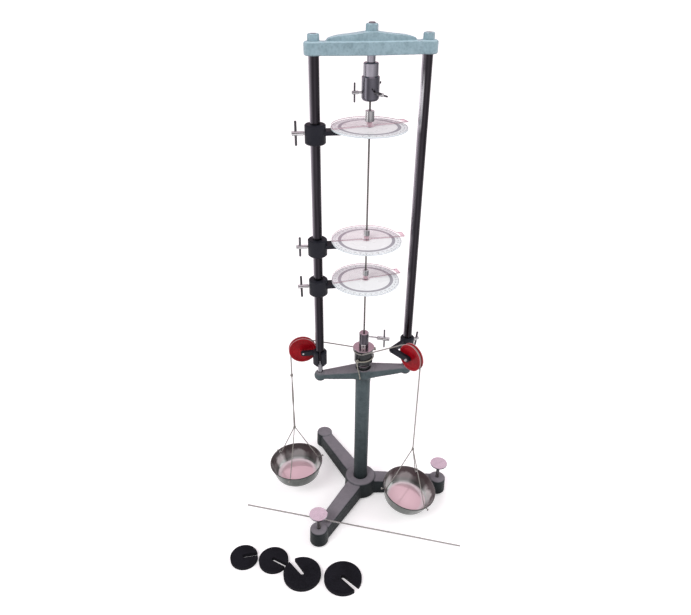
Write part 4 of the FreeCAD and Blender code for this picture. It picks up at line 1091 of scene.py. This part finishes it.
def number(text, size, azimuth, radius, z):
    """Printed number whose foot points to the dial's centre."""
    words = bpy.data.curves.new("number", "FONT")
    words.body = text
    words.size = size * MM
    words.align_x = "CENTER"
    words.align_y = "CENTER"
    words.resolution_u = 2
    words.materials.append(FINISH["dial_ink"])
    piece = link("number", words)
    mesh = evaluated(piece)
    bpy.data.objects.remove(piece)
    turn = Matrix.Rotation(math.radians(azimuth - 90.0), 4, "Z")
    place = heading(azimuth, radius) * MM + mm(0, 0, z)
    mesh.transform(Matrix.Translation(place) @ turn)
    return link("number", mesh)


def join(name, parts, look):
    """One piece out of several, all in one finish. The parts are removed."""
    work = bmesh.new()
    for part in parts:
        work.from_mesh(part.data)
    mesh = bpy.data.meshes.new(name)
    work.to_mesh(mesh)
    work.free()
    mesh.materials.append(FINISH[look])
    for face in mesh.polygons:
        face.material_index = 0
    for part in parts:
        bpy.data.objects.remove(part)
    return link(name, mesh)


def flat_ring(name, inner, outer, z, look):
    """Flat printed ring."""
    sides = 144
    vertices = []
    for radius in (inner, outer):
        for i in range(sides):
            vertices.append(heading(360.0 * i / sides, radius) * MM + mm(0, 0, z))
    faces = [(i, (i + 1) % sides, sides + (i + 1) % sides, sides + i) for i in range(sides)]
    return piece_from(name, vertices, faces, look)


def make_dial(i, top):
    """Dial with its printed ring, degree ticks and numbers, on its bracket."""
    dressed("dial_bracket_%d" % i, "black_paint", 1.0, segments=3)
    disc = "dial_disc_%d" % i
    dressed(disc, "white_plastic", 0.3, (0, 0, top))
    z = top + 0.06
    band = flat_ring("dial_band_%d" % i, 54.2, 61.2, z, "dial_ring")
    # Count, radius, length and width of the degrees, fives and tens
    sizes = ((360, 73.6, 1.4, 0.22), (72, 73.1, 2.4, 0.6), (36, 72.6, 3.4, 0.9))
    marks = [ticks(*row, z) for row in sizes]
    marks += [number(str(degree), 4.1, 180.0 - degree, 67.0, z) for degree in range(0, 360, 10)]
    for piece in (band, join("dial_print_%d" % i, marks, "dial_ink")):
        ride_with(piece, disc)


def make_pointer(i, top, angle):
    """Clear pointer with its reading line, and its collar."""
    node = "pointer_blade_%d" % i
    blade = dressed(node, "clear_acrylic", 0.25, (0, 0, top))
    second_finish(blade, "acrylic_edge", lambda face: abs(face.normal.z) < 0.5)
    dressed("pointer_collar_%d" % i, "collar_steel", 0.35, (0, 0, top))
    turn = Matrix.Rotation(math.radians(angle), 3, "Z")
    lift = mm(0, 0, top + BLADE_TOP + 0.05)
    corners = []
    for start, end in ((-74.0, -9.5), (9.5, 83.5)):
        corners += [(start, 0.3), (end, 0.3), (end, 1.3), (start, 1.3)]
    vertices = [turn @ mm(x, y, 0) + lift for x, y in corners]
    ride_with(piece_from("reading_line_%d" % i, vertices, [(0, 1, 2, 3), (4, 5, 6, 7)], "dial_ink"), node)


# Floor and light

WORLD_STRENGTH = 0.72
# Name, place, target, size and power of the lamps
LAMPS = (("key", (-1.6, -1.8, 2.6), (0, 0, 0.5), (1.2, 1.2), 47),
         ("fill", (2.2, -0.9, 1.8), (0, 0, 0.5), (1.4, 1.4), 24))


def make_floor():
    """Pale floor that is also seen white, and still takes the object's shadow."""
    mesh = bpy.data.meshes.new("floor")
    reach = 30.0
    mesh.from_pydata([(-reach, -reach, 0), (reach, -reach, 0), (reach, reach, 0), (-reach, reach, 0)], [],
                     [(0, 1, 2, 3)])
    floor = link("floor", mesh)
    material = bpy.data.materials.new("pale_floor")
    material.use_nodes = True
    tree = material.node_tree
    shader = tree.nodes["Principled BSDF"].inputs
    place = place_on(tree)
    paper = colour_mix(tree, noise(tree, place, 60.0, 3.0), rgb(0.88, 0.88, 0.88), rgb(0.92, 0.92, 0.92))
    tree.links.new(paper, shader["Base Color"])
    shader["Roughness"].default_value = 0.9
    shader["Specular IOR Level"].default_value = 0.1
    path = add(tree, "ShaderNodeLightPath").outputs
    seen = plus(tree, path["Is Camera Ray"], path["Is Glossy Ray"], clamp=True)
    seen = plus(tree, seen, path["Is Transmission Ray"], clamp=True)
    near, far = 0.5, 2.5
    white = spread(tree, length_of(tree, place), near, far, 0.34, 0.60)
    shader["Emission Color"].default_value = WHITE
    tree.links.new(times(tree, seen, white), shader["Emission Strength"])
    mesh.materials.append(material)


def make_world():
    """Room with tall paned windows at its two sides, a dark front, and a rosy back and ceiling."""
    world = bpy.data.worlds.new("room")
    SCENE.world = world
    world.use_nodes = True
    tree = world.node_tree
    background = tree.nodes["Background"].inputs
    x, y, z = split(tree, add(tree, "ShaderNodeTexCoord").outputs["Generated"])
    sideways = maths(tree, "MAXIMUM", maths(tree, "ABSOLUTE", x), 0.05)
    across = maths(tree, "DIVIDE", y, sideways)
    rise = maths(tree, "DIVIDE", z, sideways)
    # The window's sides, sill and top, and then the bars between its panes
    window = times(tree, spread(tree, maths(tree, "ABSOLUTE", across), 0.74, 0.66),
                   spread(tree, rise, 0.10, 0.14))
    window = times(tree, window, spread(tree, rise, 0.92, 0.84))
    for place, pane in ((across, 0.14), (rise, 0.19)):
        bar = maths(tree, "PINGPONG", place, pane / 2)
        window = times(tree, window, spread(tree, bar, 0.006, 0.018, 0.25, 1.0))
    walls = colour_mix(tree, spread(tree, y, -0.50, -0.80), rgb(0.16, 0.17, 0.165), rgb(0.17, 0.105, 0.11))
    walls = colour_mix(tree, spread(tree, y, 0.30, 0.75), walls, rgb(0.62, 0.48, 0.54))
    walls = colour_mix(tree, window, walls, rgb(1.35, 1.50, 1.44))
    upper = colour_mix(tree, spread(tree, z, 0.52, 0.72), walls, rgb(1.10, 0.96, 1.03))
    room = colour_mix(tree, spread(tree, z, 0.0, 0.06), WHITE, upper)
    path = add(tree, "ShaderNodeLightPath").outputs
    seen = plus(tree, path["Is Camera Ray"], path["Is Transmission Ray"], clamp=True)
    plain = 1.0 / WORLD_STRENGTH
    tree.links.new(colour_mix(tree, seen, room, rgb(plain, plain, plain)), background["Color"])
    background["Strength"].default_value = WORLD_STRENGTH


def make_lamp(name, place, target, size, watts):
    data = bpy.data.lights.new(name, "AREA")
    data.shape = "RECTANGLE"
    data.size, data.size_y = size
    data.energy = watts
    lamp = link(name, data)
    lamp.visible_glossy = False
    aim = (Vector(target) - Vector(place)).to_track_quat("-Z", "Y")
    lamp.matrix_world = Matrix.Translation(Vector(place)) @ aim.to_matrix().to_4x4()


def main():
    SCENE.view_settings.view_transform = "Standard"
    make_camera()
    make_long_cords()
    make_wound_ends()
    make_doubled_cord()
    for side in ("left", "right"):
        make_pan_strings(side)
    make_stand()
    make_screws()
    make_pulleys()
    make_pans()
    make_weights()
    for i, top in enumerate(DIAL_TOPS, start=1):
        make_dial(i, top)
        make_pointer(i, top, POINTER_ANGLES[i - 1])
    make_floor()
    make_world()
    for lamp in LAMPS:
        make_lamp(*lamp)


main()
